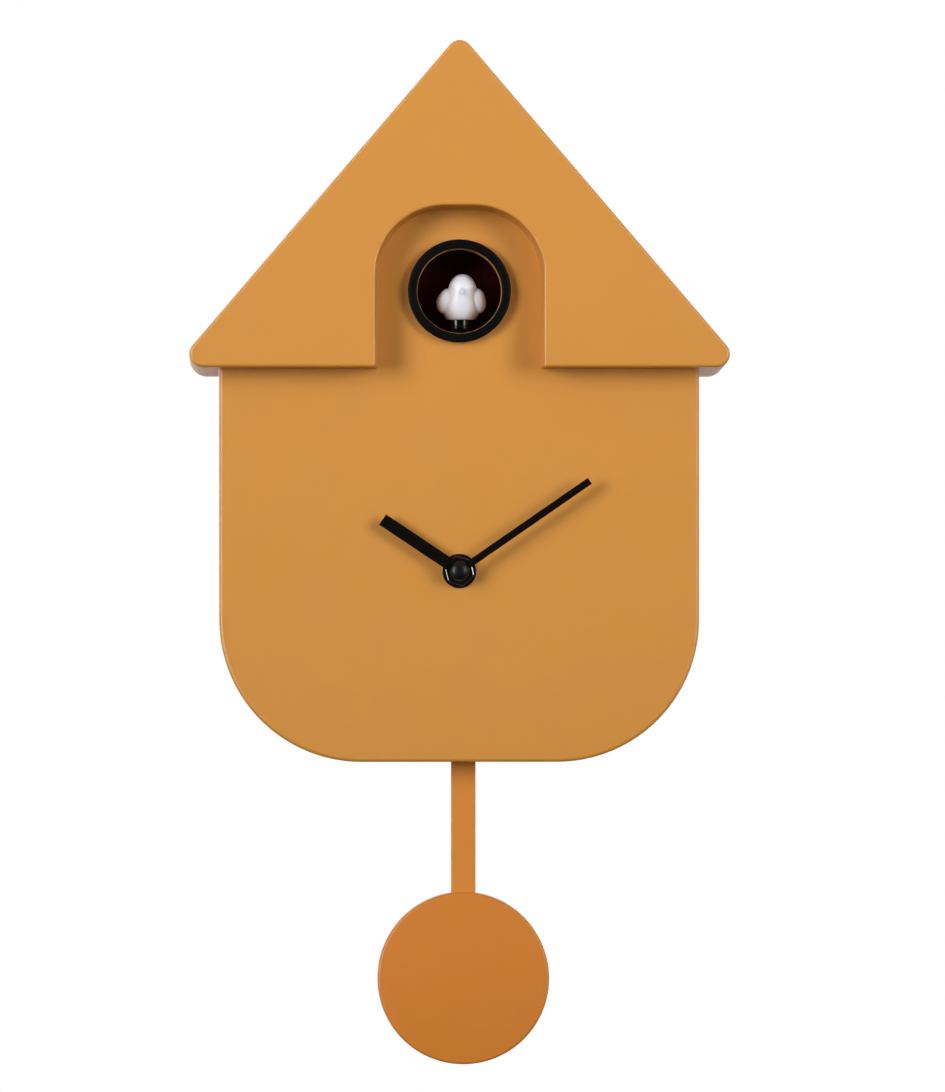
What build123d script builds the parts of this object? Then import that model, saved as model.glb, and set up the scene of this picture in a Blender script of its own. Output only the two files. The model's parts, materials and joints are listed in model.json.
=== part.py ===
from build123d import *

import os
from math import cos, pi, radians, sin, tan

# A wall clock in the shape of a house: a gable roof over a rounded body, a bird behind a
# porthole, two hands and a pendulum that swings below. All lengths are millimetres.
# The origin is the centre of the hanger plate's keyhole, on the wall. X is to the right as
# seen from the front, Y points into the wall, Z is up, and the wall is the plane y = 0.

# ------------------------------------------------------------------ the two moulded shells
WALL = 2.5                # wall of the roof cover and the front case
DRAFT = 1.33              # degrees by which both shells flare towards the wall
ROOF_WIDTH = 215.0        # across the eave corners, at the wall
ROOF_DEPTH = 80.0         # from the wall to the gable's face
ROOF_SLOPE = 40.54        # degrees between each flank and the vertical
ROOF_CORNER_R = 6.9
ROOF_EDGE_R = 1.2
EAVE_Z = -85.0            # lower edge of the gable's face
BODY_WIDTH = 191.6        # at the wall
BODY_DEPTH = 65.0
BODY_BOTTOM_Z = -241.3
BODY_CORNER_R = 57.3
BODY_EDGE_R = 1.4
BODY_LAP = 8.0            # how far the body's side walls reach up inside the roof
TONGUE_TOP_Z = 28.0       # top of the front case's tongue behind the gable
TONGUE_GAP = 0.5
ARCH_WIDTH = 66.0
ARCH_RISE = 63.2
ARCH_CORNER_R = 27.4
ARCH_DRAFT = 4.0
ARCH_EDGE_R = 0.9

# ------------------------------------------------------------------ fasteners
SCREW_SHANK_R = 1.3
SCREW_HEAD_R = 2.7
SCREW_HEAD_H = 1.7
SCREW_PLAY = 0.4          # free radius round a shank in a through hole
SCREW_BITE = 9.0          # length held in a boss
PILOT_PLAY = 0.05
POST_R = 3.75
POST_INSET = 9.0          # post centres to the inside of the side walls
ROOF_SCREW_SPOTS = ((-58.0, -70.0), (58.0, -70.0), (-24.0, -9.0), (24.0, -9.0))

# ------------------------------------------------------------------ porthole and bird
PORTHOLE_Z = -54.9
PORTHOLE_R = 16.5         # the round hole through the front case
RING_OUTER_R = 20.2
RING_INNER_R = 17.05
RING_PROUD = 4.0
RING_EDGE_R = 0.7
RING_PEG_R = 1.0
RING_PEGS = 3
RING_PEG_LENGTH = 4.5
CHAMBER_INNER_R = 18.6
CHAMBER_WALL = 1.5
CHAMBER_FLANGE_R = 24.0
CHAMBER_BACK_Y = -36.0
BIRD_X = 0.5
BIRD_Y = -51.0
BIRD_TOP = 7.0            # above the porthole's centre
BIRD_FOOT = -10.9         # below the porthole's centre
BIRD_WIDTH = 19.8
BIRD_BODY_R = 7.6
BIRD_BODY_LENGTH = 19.0
HEAD_R = 5.6
HEAD_FORWARD = 4.3
BEAK_R = 1.3
BEAK_LENGTH = 2.6
WING_R = 4.4
WING_LENGTH = 15.0
TAIL_TIP_Y = -38.9
PEDESTAL_R = 5.4
PEDESTAL_BASE_R = 5.7
PEDESTAL_BASE_T = 1.6
PEDESTAL_BOTTOM = -15.0   # below the porthole's centre
BIRD_TRAVEL = 20.0

# ------------------------------------------------------------------ bird drive
GEAR_MODULE = 0.5
RACK_WIDTH = 3.2
RACK_HEIGHT = 1.7
SLIDE_WIDTH = 5.0
SLIDE_T = 2.0
SLIDE_PLAY = 0.25
RACK_SPARE = 1.8          # rack left behind the gear when the bird is out
GUIDE_WALL = 2.4
GUIDE_REAR_Y = -12.0
RACK_GEAR_TEETH = 20
DRIVE_WHEEL_TEETH = 36
MOTOR_PINION_TEETH = 12
GEAR_Y = -26.0
GEAR_T = 2.0
AXLE_R = 1.0
BORE_PLAY = 0.06          # running clearance of every turning bore
BRACKET_T = 1.5
MOTOR_R = 10.0
MOTOR_LENGTH = 17.0

# ------------------------------------------------------------------ clock movement and hands
HUB_Z = -164.8
CASE_SIZE = 56.0
CASE_CORNER_R = 4.0
CASE_HALF_DEPTH = 8.0
CASE_WALL = 1.5
WASHER_T = 0.8
BUSHING_R = 4.0
BUSHING_LENGTH = 5.9
PIPE_R = 2.5
ARBOR_R = 1.7
WHEEL_T = 1.0
NUT_FLANGE_R = 6.6
NUT_FLANGE_T = 1.1
NUT_HEX_R = 5.35          # centre to corner
NUT_HEX_T = 2.0
NUT_TURN = 43.0
HOUR_MODULE = 0.48
CANNON_TEETH = 12
MINUTE_WHEEL_TEETH = 36
MINUTE_PINION_TEETH = 10
HOUR_WHEEL_TEETH = 40
MINUTE_WHEEL_SIDE = 45.0  # direction of the minute wheel from the hub
KNOB_SIDE = 100.0         # direction of the knob's pinion from the minute wheel
HOUR_HAND_LENGTH = 36.3
HOUR_HAND_WIDTH = 4.6
HOUR_HAND_TURN = 303.8    # degrees clockwise from twelve
MINUTE_HAND_LENGTH = 62.1
MINUTE_HAND_WIDTH = 2.7
MINUTE_HAND_TURN = 55.3
HAND_T = 0.7
HAND_HUB_R = 3.2
HAND_CLEARANCE = 1.4      # free depth between nut, hour hand and minute hand
CAP_R = 3.72
CAP_H = 2.9
KNOB_R = 8.0
KNOB_T = 4.6
KNOB_SHAFT_R = 1.5
COIL_R = 4.0
COIL_LENGTH = 24.0
MOVEMENT_BOARD_HEIGHT = 22.0
BOARD_REST_H = 0.5        # pads that carry the movement's board
MOVEMENT_BOARD_GAP = 2.0  # free all round, inside the movement's case

# ------------------------------------------------------------------ rear cover and hanger
COVER_T = 3.0
COVER_GAP = 0.35
SOFFIT_GAP = 0.12         # the soffit closes on the body's sides
HANGER_WIDTH = 30.0
HANGER_BOTTOM_Z = -9.0
HANGER_TOP_Z = 15.0
HANGER_T = 1.5
KEYHOLE_R = 4.5
KEYHOLE_SLOT_R = 2.3
KEYHOLE_RISE = 6.5
RECESS_GAP = 0.2
SCREW_HEAD_ROOM = 2.0     # the wall screw's head clears the window by this much

# ------------------------------------------------------------------ pendulum
PENDULUM_X = 1.8
PIVOT_Z = -178.0
PENDULUM_SWING = 8.0
ROD_WIDTH = 9.7
ROD_T = 3.0
ROD_TOP_Z = -203.0
ARM_WIDTH = 8.0
ARM_T = 3.0
ARM_BOTTOM_Z = -221.0
ARM_CRANK = 9.5           # the arm steps forward by this much, below the movement
ARM_HUB_R = 4.0
BOB_Z = -325.9
BOB_R = 33.95
BOB_T = 10.0
BOB_PROUD = 3.5           # front of the bob ahead of the rod
BOB_PEG_RISE = 16.0       # peg through the rod, above the bob's centre
ROD_SEAT_RISE = 10.0      # end of the rod, above the bob's centre
BOB_WALL = 2.0
BOB_EDGE_R = 1.1
WEIGHT_R = 27.0
WEIGHT_T = 5.0
MAGNET_R = 4.0
MAGNET_T = 2.5
MAGNET_DROP = 14.0
DRIVE_COIL_R = 6.0
DRIVE_COIL_T = 3.4
COIL_AIR_GAP = 1.1
BRACKET_PLATE_T = 4.2
BRACKET_HALF_WIDTH = 17.0
BRACKET_RISE = 8.0        # above the pivot, and below the drive coil's centre

# ------------------------------------------------------------------ batteries
CELL_R = 7.1
CELL_LENGTH = 50.5
CELL_COUNT = 3
CELL_PITCH = 15.2
BATTERY_X = 54.0
BATTERY_Z = -150.0
BOX_WALL = 1.5
BOX_DEPTH = 16.0
SPRING_ROOM = 5.0
CONTACT_T = 0.5
SPRING_R = 2.6
SPRING_WIRE_R = 0.35
SPRING_TURNS = 3
DOOR_T = 2.6
DOOR_GAP = 0.4
DOOR_PIN_R = 0.9
DOOR_PIN_LENGTH = 1.5
DOOR_LEDGE = 0.8

# ------------------------------------------------------------------ sound
SPEAKER_X = -53.0
SPEAKER_Z = -194.0
SPEAKER_R = 20.0
SPEAKER_DEPTH = 11.0
SPEAKER_MAGNET_R = 9.0
SPEAKER_MAGNET_T = 4.0
GRILLE_HOLE_R = 1.3
BOARD_X = -64.0
BOARD_Z = -140.0
BOARD_WIDTH = 40.0
BOARD_HEIGHT = 42.0
BOARD_T = 1.5
BOARD_STANDOFF = 5.0
BOARD_POST_INSET = 4.0
SWITCH_X = -64.0
SWITCH_Z = -128.0
SWITCH_TRAVEL = 4.0
SWITCH_STEM = 2.4
SWITCH_PLAY = 0.3
SENSOR_X = 24.0
SENSOR_Y = -48.0
SENSOR_R = 2.4
LEAD_R = 0.9

# ------------------------------------------------------------------ worked-out places
FOOT_HALF_ANGLE = radians(90 - ROOF_SLOPE) / 2
SLOPE_TAN = tan(radians(ROOF_SLOPE))
DRAFT_TAN = tan(radians(DRAFT))
ROOF_FOOT_Z = EAVE_Z - ROOF_DEPTH * DRAFT_TAN
ROOF_VERTEX_X = ROOF_WIDTH / 2 + ROOF_CORNER_R * (1 / tan(FOOT_HALF_ANGLE) - 1)
BODY_TOP_Z = EAVE_Z + BODY_LAP
BODY_FACE_Y = -BODY_DEPTH
INNER_FACE_Y = WALL - BODY_DEPTH
COVER_FACE_Y = -COVER_T
GEAR_AXLE_DROP = GEAR_MODULE * RACK_GEAR_TEETH / 2
# The movement hangs behind the face; the pendulum pivots behind it and hangs below it.
MOVEMENT_FRONT_Y = INNER_FACE_Y + WASHER_T
MOVEMENT_REAR_Y = MOVEMENT_FRONT_Y + 2 * CASE_HALF_DEPTH
PLATE_REAR_Y = MOVEMENT_REAR_Y + BRACKET_PLATE_T
COIL_REAR_Y = PLATE_REAR_Y + DRIVE_COIL_T
MAGNET_FRONT_Y = COIL_REAR_Y + COIL_AIR_GAP
ARM_FRONT_Y = MAGNET_FRONT_Y + MAGNET_T
ARM_REAR_Y = ARM_FRONT_Y + ARM_T
ROD_REAR_Y = ARM_FRONT_Y - ARM_CRANK
ROD_FRONT_Y = ROD_REAR_Y - ROD_T


def front_plane(y, x=0.0, z=0.0):
    """A drawing plane at depth y that faces the front: right is +X and up is +Z."""
    return Plane(origin=(x, y, z), x_dir=(1, 0, 0), z_dir=(0, -1, 0))


def rear_plane(y, x=0.0, z=0.0):
    """A drawing plane at depth y that faces the wall: right is -X and up is +Z."""
    return Plane(origin=(x, y, z), x_dir=(-1, 0, 0), z_dir=(0, 1, 0))


def side_plane(x, y=0.0, z=0.0):
    """A drawing plane that faces +X: right is +Y and up is +Z."""
    return Plane(origin=(x, y, z), x_dir=(0, 1, 0), z_dir=(1, 0, 0))


def flank_x(z, inset):
    """Half-width at height z of the roof triangle whose sides are moved in by inset."""
    apex = ROOF_FOOT_Z + inset + (ROOF_VERTEX_X - inset / tan(FOOT_HALF_ANGLE)) / SLOPE_TAN
    return (apex - z) * SLOPE_TAN


def roof_outline(inset=0.0):
    """The gable triangle at the wall, its sides moved in by inset, corners rounded."""
    half = ROOF_VERTEX_X - inset / tan(FOOT_HALF_ANGLE)
    foot = ROOF_FOOT_Z + inset
    with BuildSketch(Plane.XY) as outline:
        with BuildLine():
            Polyline((-half, foot), (half, foot), (0, foot + half / SLOPE_TAN), close=True)
        make_face()
        fillet(outline.vertices(), ROOF_CORNER_R - inset)
    return outline.sketch


def body_outline(top, inset=0.0):
    """The body at the wall: straight sides, two large lower corners, a flat top."""
    half = BODY_WIDTH / 2 - inset
    bottom = BODY_BOTTOM_Z + inset
    with BuildSketch(Plane.XY) as outline:
        with BuildLine():
            Polyline((-half, top), (-half, bottom), (half, bottom), (half, top), close=True)
        make_face()
        fillet(outline.vertices().group_by(Axis.Y)[0], BODY_CORNER_R - inset)
    return outline.sketch


def arch_outline(foot, grow=0.0):
    """The doorway arch: upright jambs, large top corners, open at the foot."""
    half = ARCH_WIDTH / 2 + grow
    top = EAVE_Z + ARCH_RISE + grow
    with BuildSketch(Plane.XY) as outline:
        with BuildLine():
            Polyline((-half, foot), (half, foot), (half, top), (-half, top), close=True)
        make_face()
        fillet(outline.vertices().group_by(Axis.Y)[-1], ARCH_CORNER_R + grow)
    return outline.sketch


def gear_outline(module, teeth, turn=0.0):
    """A gear with straight-flanked teeth, thin enough to run free; one tooth is at turn."""
    pitch_r = module * teeth / 2
    root_r = pitch_r - 1.15 * module
    tip_r = pitch_r + 0.8 * module
    root_half = 0.27 * pi * module
    tip_half = 0.11 * pi * module
    buried = root_r - 0.3 * module
    with BuildSketch(Plane.XY) as outline:
        Circle(root_r)
        with PolarLocations(0, teeth, start_angle=turn):
            Polygon(
                (buried, -root_half), (tip_r, -tip_half), (tip_r, tip_half), (buried, root_half),
                align=None,
            )
    return outline.sketch


def meshed_turn(turn, teeth, direction, other_teeth):
    """The tooth angle of a gear that meshes in direction with a gear whose tooth is at turn."""
    pitch = 360 / teeth
    lead = (turn - direction) % pitch
    return direction + 180 - lead * teeth / other_teeth + 180 / other_teeth


def prism(outline, plane, amount, mode=Mode.ADD, taper=0.0):
    """Extrude a flat outline drawn in the given plane's own axes."""
    extrude(plane * outline, amount=amount, taper=taper, mode=mode)


def discs(spots, radius, y, amount, mode=Mode.ADD):
    """Round pegs or holes along Y at the given (x, z) spots, from y towards the front."""
    with BuildSketch(Plane.XY) as circles:
        with Locations(*spots):
            Circle(radius)
    prism(circles.sketch, front_plane(y), amount, mode)


def screws(spots, seat_y, length, out=1):
    """Pan-head screws whose heads stand on seat_y; out is 1 for heads that face the wall."""
    discs(spots, SCREW_SHANK_R, seat_y, out * length)
    discs(spots, SCREW_HEAD_R, seat_y, -out * SCREW_HEAD_H)
    slot_length = 1.3 * SCREW_HEAD_R
    slot_width = 0.25 * SCREW_HEAD_R
    with BuildSketch(Plane.XY) as cross:
        with Locations(*spots):
            Rectangle(slot_length, slot_width)
            Rectangle(slot_width, slot_length)
    head_y = seat_y + out * SCREW_HEAD_H
    prism(cross.sketch, front_plane(head_y), out * SCREW_HEAD_H / 2, Mode.SUBTRACT)


os.makedirs("parts", exist_ok=True)
finished = []


def finish(part, name):
    """Label a sub-part and write it as its own file."""
    part.label = name
    export_step(part, f"parts/{name}.step")
    finished.append(part)


# ================================================================== the moulded shells
side_post_x = BODY_WIDTH / 2 - WALL - POST_INSET
corner_x = BODY_WIDTH / 2 - BODY_CORNER_R
corner_z = BODY_BOTTOM_Z + BODY_CORNER_R
post_reach = (BODY_CORNER_R - WALL - POST_INSET) / 2 ** 0.5
top_post_z = TONGUE_TOP_Z - 2 * POST_R
REAR_SCREW_SPOTS = (
    (-side_post_x, EAVE_Z - POST_INSET), (side_post_x, EAVE_Z - POST_INSET),
    (-corner_x - post_reach, corner_z - post_reach), (corner_x + post_reach, corner_z - post_reach),
    (0.0, top_post_z),
)

# The roof is a drafted triangular cap, open at the wall, with an arched doorway in its face.
with BuildPart() as roof_cover:
    prism(roof_outline(), front_plane(0), ROOF_DEPTH, taper=DRAFT)
    fillet(roof_cover.faces().sort_by(Axis.Y)[0].edges(), ROOF_EDGE_R)
    prism(roof_outline(WALL), front_plane(0), ROOF_DEPTH - WALL, Mode.SUBTRACT, DRAFT)
    # The doorway's lining runs back from the gable to the front case.
    lining_depth = ROOF_DEPTH - BODY_DEPTH
    prism(arch_outline(EAVE_Z, WALL), front_plane(BODY_FACE_Y), lining_depth - WALL / 2)
    prism(arch_outline(EAVE_Z - 2 * WALL), rear_plane(-ROOF_DEPTH), lining_depth, Mode.SUBTRACT, ARCH_DRAFT)
    # The body comes up through the soffit.
    prism(body_outline(BODY_TOP_Z + WALL, -SOFFIT_GAP), front_plane(0), BODY_DEPTH, Mode.SUBTRACT, DRAFT)
    # Four bosses reach back from the gable to the tongue.
    discs(ROOF_SCREW_SPOTS, POST_R, BODY_FACE_Y, lining_depth - WALL / 2)
    discs(ROOF_SCREW_SPOTS, SCREW_SHANK_R + PILOT_PLAY, BODY_FACE_Y, SCREW_BITE + 1, Mode.SUBTRACT)
    doorway_rim = (
        roof_cover.faces().sort_by(Axis.Y)[0].edges()
        .filter_by_position(Axis.X, -ARCH_WIDTH / 2 - 0.5, ARCH_WIDTH / 2 + 0.5)
        .filter_by_position(Axis.Z, EAVE_Z + 2 * ROOF_EDGE_R, EAVE_Z + ARCH_RISE + 0.5)
    )
    fillet(doorway_rim, ARCH_EDGE_R)
finish(roof_cover.part, "roof_cover")

# The front case is the body's face and side walls; its tongue stands up behind the gable.
with BuildPart() as front_case:
    prism(body_outline(BODY_TOP_Z), front_plane(0), BODY_DEPTH, taper=DRAFT)
    face_rim = front_case.faces().sort_by(Axis.Y)[0].edges().sort_by(Axis.Z)[:-1]
    fillet(face_rim, BODY_EDGE_R)
    cavity = body_outline(BODY_TOP_Z + 2 * WALL, WALL)
    prism(cavity, front_plane(0), BODY_DEPTH - WALL, Mode.SUBTRACT, DRAFT)
    tongue_inset = WALL + BODY_DEPTH * DRAFT_TAN + TONGUE_GAP
    tongue_half = BODY_WIDTH / 2 - WALL - BODY_DEPTH * DRAFT_TAN
    tongue_top_half = flank_x(TONGUE_TOP_Z, tongue_inset)
    shoulder_z = TONGUE_TOP_Z - (tongue_half - tongue_top_half) / SLOPE_TAN
    with BuildSketch(front_plane(INNER_FACE_Y)):
        with BuildLine():
            Polyline(
                (-tongue_half, EAVE_Z), (tongue_half, EAVE_Z), (tongue_half, shoulder_z),
                (tongue_top_half, TONGUE_TOP_Z), (-tongue_top_half, TONGUE_TOP_Z),
                (-tongue_half, shoulder_z), close=True,
            )
        make_face()
    extrude(amount=WALL)
    # Tall posts carry the rear cover.
    discs(REAR_SCREW_SPOTS, POST_R, COVER_FACE_Y, BODY_DEPTH - COVER_T - WALL / 2)
    discs(REAR_SCREW_SPOTS, SCREW_SHANK_R + PILOT_PLAY, COVER_FACE_Y, SCREW_BITE + 1, Mode.SUBTRACT)
    # Porthole, peg holes of its ring, screw holes of the roof, and the movement's hole.
    discs([(0, PORTHOLE_Z)], PORTHOLE_R, INNER_FACE_Y, WALL, Mode.SUBTRACT)
    discs(ROOF_SCREW_SPOTS, SCREW_SHANK_R + SCREW_PLAY, INNER_FACE_Y, WALL, Mode.SUBTRACT)
    discs([(0, HUB_Z)], BUSHING_R + SCREW_PLAY / 2, INNER_FACE_Y, WALL, Mode.SUBTRACT)
    with BuildSketch(front_plane(INNER_FACE_Y, z=PORTHOLE_Z)):
        with PolarLocations((RING_OUTER_R + PORTHOLE_R) / 2, RING_PEGS, start_angle=90):
            Circle(RING_PEG_R + PILOT_PLAY)
    extrude(amount=WALL, mode=Mode.SUBTRACT)
    # The pendulum rod leaves through a slot in the floor, and a light sensor looks out.
    slot_half = (PIVOT_Z - BODY_BOTTOM_Z) * tan(radians(PENDULUM_SWING)) + ROD_WIDTH / 2 + 1.5
    slot_y = ROD_REAR_Y - ROD_T / 2
    with BuildSketch(Plane.XY.offset(BODY_BOTTOM_Z - 1)):
        with Locations((PENDULUM_X, slot_y)):
            RectangleRounded(2 * slot_half, ROD_T + 3.0, 1.4)
        with Locations((SENSOR_X, SENSOR_Y)):
            Circle(SENSOR_R + PILOT_PLAY)
    extrude(amount=2 * WALL + 2, mode=Mode.SUBTRACT)
finish(front_case.part, "front_case")

# The rear cover closes both shells: a house-shaped plate that lies flush with their rims.
cells_width = CELL_COUNT * CELL_PITCH
box_inner_width = cells_width + 0.9
box_inner_height = CELL_LENGTH + SPRING_ROOM + 2 * CONTACT_T
opening_width = box_inner_width + 2 * DOOR_LEDGE
opening_height = box_inner_height + 2 * DOOR_LEDGE
door_width = opening_width - 2 * DOOR_GAP
door_height = opening_height - 2 * DOOR_GAP
door_hinge_z = BATTERY_Z + door_height / 2 - DOOR_T / 2
ear_x = box_inner_width / 2 + BOX_WALL + 3.0
ear_spots = [(BATTERY_X - ear_x, BATTERY_Z), (BATTERY_X + ear_x, BATTERY_Z)]
ear_peg_r = 1.5
minute_reach = GEAR_MODULE * (CANNON_TEETH + MINUTE_WHEEL_TEETH) / 2
wheel_x = minute_reach * cos(radians(MINUTE_WHEEL_SIDE))
wheel_z = HUB_Z + minute_reach * sin(radians(MINUTE_WHEEL_SIDE))
knob_x = wheel_x + minute_reach * cos(radians(KNOB_SIDE))
knob_z = wheel_z + minute_reach * sin(radians(KNOB_SIDE))
board_post_x = BOARD_WIDTH / 2 - BOARD_POST_INSET
board_post_z = BOARD_HEIGHT / 2 - BOARD_POST_INSET
board_spots = [
    (BOARD_X + side * board_post_x, BOARD_Z + level * board_post_z)
    for side in (-1, 1) for level in (-1, 1)
]
board_post_r = 2.4
board_back_y = COVER_FACE_Y - BOARD_STANDOFF
switch_slot = SWITCH_STEM + SWITCH_TRAVEL + 2 * SWITCH_PLAY
switch_height = 3.0
hanger_spots = [(-HANGER_WIDTH / 2 + 3.2, 3.0), (HANGER_WIDTH / 2 - 3.2, 3.0)]
hanger_boss_r = 3.0
hanger_boss_length = 5.0
hanger_screw_length = COVER_T + hanger_boss_length - HANGER_T - 1.5
hanger_height = HANGER_TOP_Z - HANGER_BOTTOM_Z
window_half = KEYHOLE_R + SCREW_HEAD_ROOM
window_top = KEYHOLE_RISE + window_half
counterbore = SCREW_HEAD_H + 0.1
with BuildPart() as rear_cover:
    with BuildSketch(front_plane(COVER_FACE_Y)) as cover_outline:
        add(roof_outline(WALL + COVER_GAP))
        add(body_outline(BODY_TOP_Z, WALL + COVER_GAP))
        with Locations(
            (WALL / 2 - BODY_WIDTH / 2, BODY_TOP_Z + COVER_GAP),
            (BODY_WIDTH / 2 - WALL / 2, BODY_TOP_Z + COVER_GAP),
        ):
            notch_height = BODY_TOP_Z - ROOF_FOOT_Z
            Rectangle(WALL + 2 * COVER_GAP, notch_height, align=(Align.CENTER, Align.MAX), mode=Mode.SUBTRACT)
    extrude(amount=-COVER_T)
    # Bosses on the inside for the hanger and the sound board, and a rim round the speaker.
    discs(hanger_spots, hanger_boss_r, COVER_FACE_Y, hanger_boss_length)
    discs(board_spots, board_post_r, COVER_FACE_Y, BOARD_STANDOFF)
    discs(ear_spots, ear_peg_r, COVER_FACE_Y, 2.6)
    with BuildSketch(front_plane(COVER_FACE_Y, SPEAKER_X, SPEAKER_Z)):
        Circle(SPEAKER_R + 1.5)
        Circle(SPEAKER_R + 0.2, mode=Mode.SUBTRACT)
    extrude(amount=4.0)
    # Hanger recess with a window for the head of the wall screw.
    with BuildSketch(front_plane(0, z=(HANGER_TOP_Z + HANGER_BOTTOM_Z) / 2)):
        RectangleRounded(HANGER_WIDTH + 2 * RECESS_GAP, hanger_height + 2 * RECESS_GAP, 2.0)
    extrude(amount=HANGER_T, mode=Mode.SUBTRACT)
    with BuildSketch(front_plane(0, z=(window_top - window_half) / 2)):
        RectangleRounded(2 * window_half, window_top + window_half, 2.0)
    extrude(amount=COVER_T, mode=Mode.SUBTRACT)
    discs(hanger_spots, SCREW_SHANK_R + PILOT_PLAY, 0, HANGER_T + hanger_screw_length + 0.3, Mode.SUBTRACT)
    # Counterbored holes of the five rear screws.
    discs(REAR_SCREW_SPOTS, SCREW_HEAD_R + SCREW_PLAY, 0, counterbore, Mode.SUBTRACT)
    discs(REAR_SCREW_SPOTS, SCREW_SHANK_R + SCREW_PLAY, 0, COVER_T, Mode.SUBTRACT)
    discs(board_spots, SCREW_SHANK_R + PILOT_PLAY, -1.5, BOARD_STANDOFF + COVER_T, Mode.SUBTRACT)
    # Setting knob, switch slot and speaker grille.
    discs([(knob_x, knob_z)], KNOB_R + 0.8, 0, COVER_T, Mode.SUBTRACT)
    with BuildSketch(front_plane(0, SWITCH_X + SWITCH_TRAVEL / 2, SWITCH_Z)):
        Rectangle(switch_slot, switch_height + 2 * SWITCH_PLAY)
    extrude(amount=COVER_T, mode=Mode.SUBTRACT)
    with BuildSketch(front_plane(0, SPEAKER_X, SPEAKER_Z)):
        Circle(GRILLE_HOLE_R)
        for ring in (1, 2, 3):
            with PolarLocations(4 * GRILLE_HOLE_R * ring, 6 * ring):
                Circle(GRILLE_HOLE_R)
    extrude(amount=COVER_T, mode=Mode.SUBTRACT)
    # Battery opening, the sockets of the door's hinge pins and a notch for a fingertip.
    with BuildSketch(front_plane(0, BATTERY_X, BATTERY_Z)):
        Rectangle(opening_width, opening_height)
    extrude(amount=COVER_T, mode=Mode.SUBTRACT)
    socket_half = opening_width / 2 + DOOR_PIN_LENGTH - DOOR_GAP + 0.3
    with BuildSketch(side_plane(BATTERY_X - socket_half, -DOOR_T / 2, door_hinge_z)):
        Circle(DOOR_PIN_R + BORE_PLAY)
    extrude(amount=2 * socket_half, mode=Mode.SUBTRACT)
    discs([(BATTERY_X, BATTERY_Z - opening_height / 2)], 7.0, 0, COVER_T / 2, Mode.SUBTRACT)
finish(rear_cover.part, "rear_cover")

with BuildPart() as roof_screws:
    screws(ROOF_SCREW_SPOTS, INNER_FACE_Y, WALL + SCREW_BITE)
finish(roof_screws.part, "roof_screws")

with BuildPart() as rear_screws:
    screws(REAR_SCREW_SPOTS, -counterbore, COVER_T - counterbore + SCREW_BITE)
finish(rear_screws.part, "rear_screws")

# ================================================================== hanger
# A steel plate in the rear cover: the wall screw's head enters the round and the clock drops
# until the shank reaches the top of the slot.
countersink_r = SCREW_SHANK_R + HANGER_T
with BuildPart() as hanger_plate:
    with BuildSketch(front_plane(-HANGER_T, z=(HANGER_TOP_Z + HANGER_BOTTOM_Z) / 2)):
        RectangleRounded(HANGER_WIDTH, hanger_height, 2.0)
    extrude(amount=-HANGER_T)
    discs([(0, 0)], KEYHOLE_R, 0, HANGER_T, Mode.SUBTRACT)
    with BuildSketch(front_plane(0, z=KEYHOLE_RISE / 2)):
        Rectangle(2 * KEYHOLE_SLOT_R, KEYHOLE_RISE)
        with Locations((0, KEYHOLE_RISE / 2)):
            Circle(KEYHOLE_SLOT_R)
    extrude(amount=HANGER_T, mode=Mode.SUBTRACT)
    with Locations(*[front_plane(-HANGER_T / 2, x, z) for x, z in hanger_spots]):
        Cone(countersink_r, SCREW_SHANK_R, HANGER_T, mode=Mode.SUBTRACT)
finish(hanger_plate.part, "hanger_plate")

with BuildPart() as hanger_screws:
    with Locations(*[front_plane(-HANGER_T / 2, x, z) for x, z in hanger_spots]):
        Cone(countersink_r, SCREW_SHANK_R, HANGER_T)
    discs(hanger_spots, SCREW_SHANK_R, -HANGER_T, hanger_screw_length)
    with BuildSketch(front_plane(0)):
        with Locations(*hanger_spots):
            Rectangle(1.4 * countersink_r, 0.6)
            Rectangle(0.6, 1.4 * countersink_r)
    extrude(amount=HANGER_T / 2, mode=Mode.SUBTRACT)
finish(hanger_screws.part, "hanger_screws")

# ================================================================== porthole and bird
peg_circle_r = (RING_OUTER_R + PORTHOLE_R) / 2
with BuildPart() as porthole_ring:
    with BuildSketch(front_plane(BODY_FACE_Y, z=PORTHOLE_Z)):
        Circle(RING_OUTER_R)
        Circle(RING_INNER_R, mode=Mode.SUBTRACT)
    extrude(amount=RING_PROUD)
    fillet(porthole_ring.faces().sort_by(Axis.Y)[0].edges(), RING_EDGE_R)
    with BuildSketch(front_plane(BODY_FACE_Y, z=PORTHOLE_Z)):
        with PolarLocations(peg_circle_r, RING_PEGS, start_angle=90):
            Circle(RING_PEG_R)
    extrude(amount=-RING_PEG_LENGTH)
finish(porthole_ring.part, "porthole_ring")

rack_tip_z = PORTHOLE_Z + PEDESTAL_BOTTOM
rack_pitch_z = rack_tip_z + 0.8 * GEAR_MODULE
slide_shoulder_z = rack_tip_z + RACK_HEIGHT
slide_top_z = slide_shoulder_z + SLIDE_T
slide_front_y = BIRD_Y + PEDESTAL_BASE_R + 1.0
slide_rear_y = GEAR_Y + BIRD_TRAVEL + RACK_SPARE
gear_z = rack_pitch_z - GEAR_AXLE_DROP
chamber_outer_r = CHAMBER_INNER_R + CHAMBER_WALL
chamber_depth = CHAMBER_BACK_Y - INNER_FACE_Y

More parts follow.
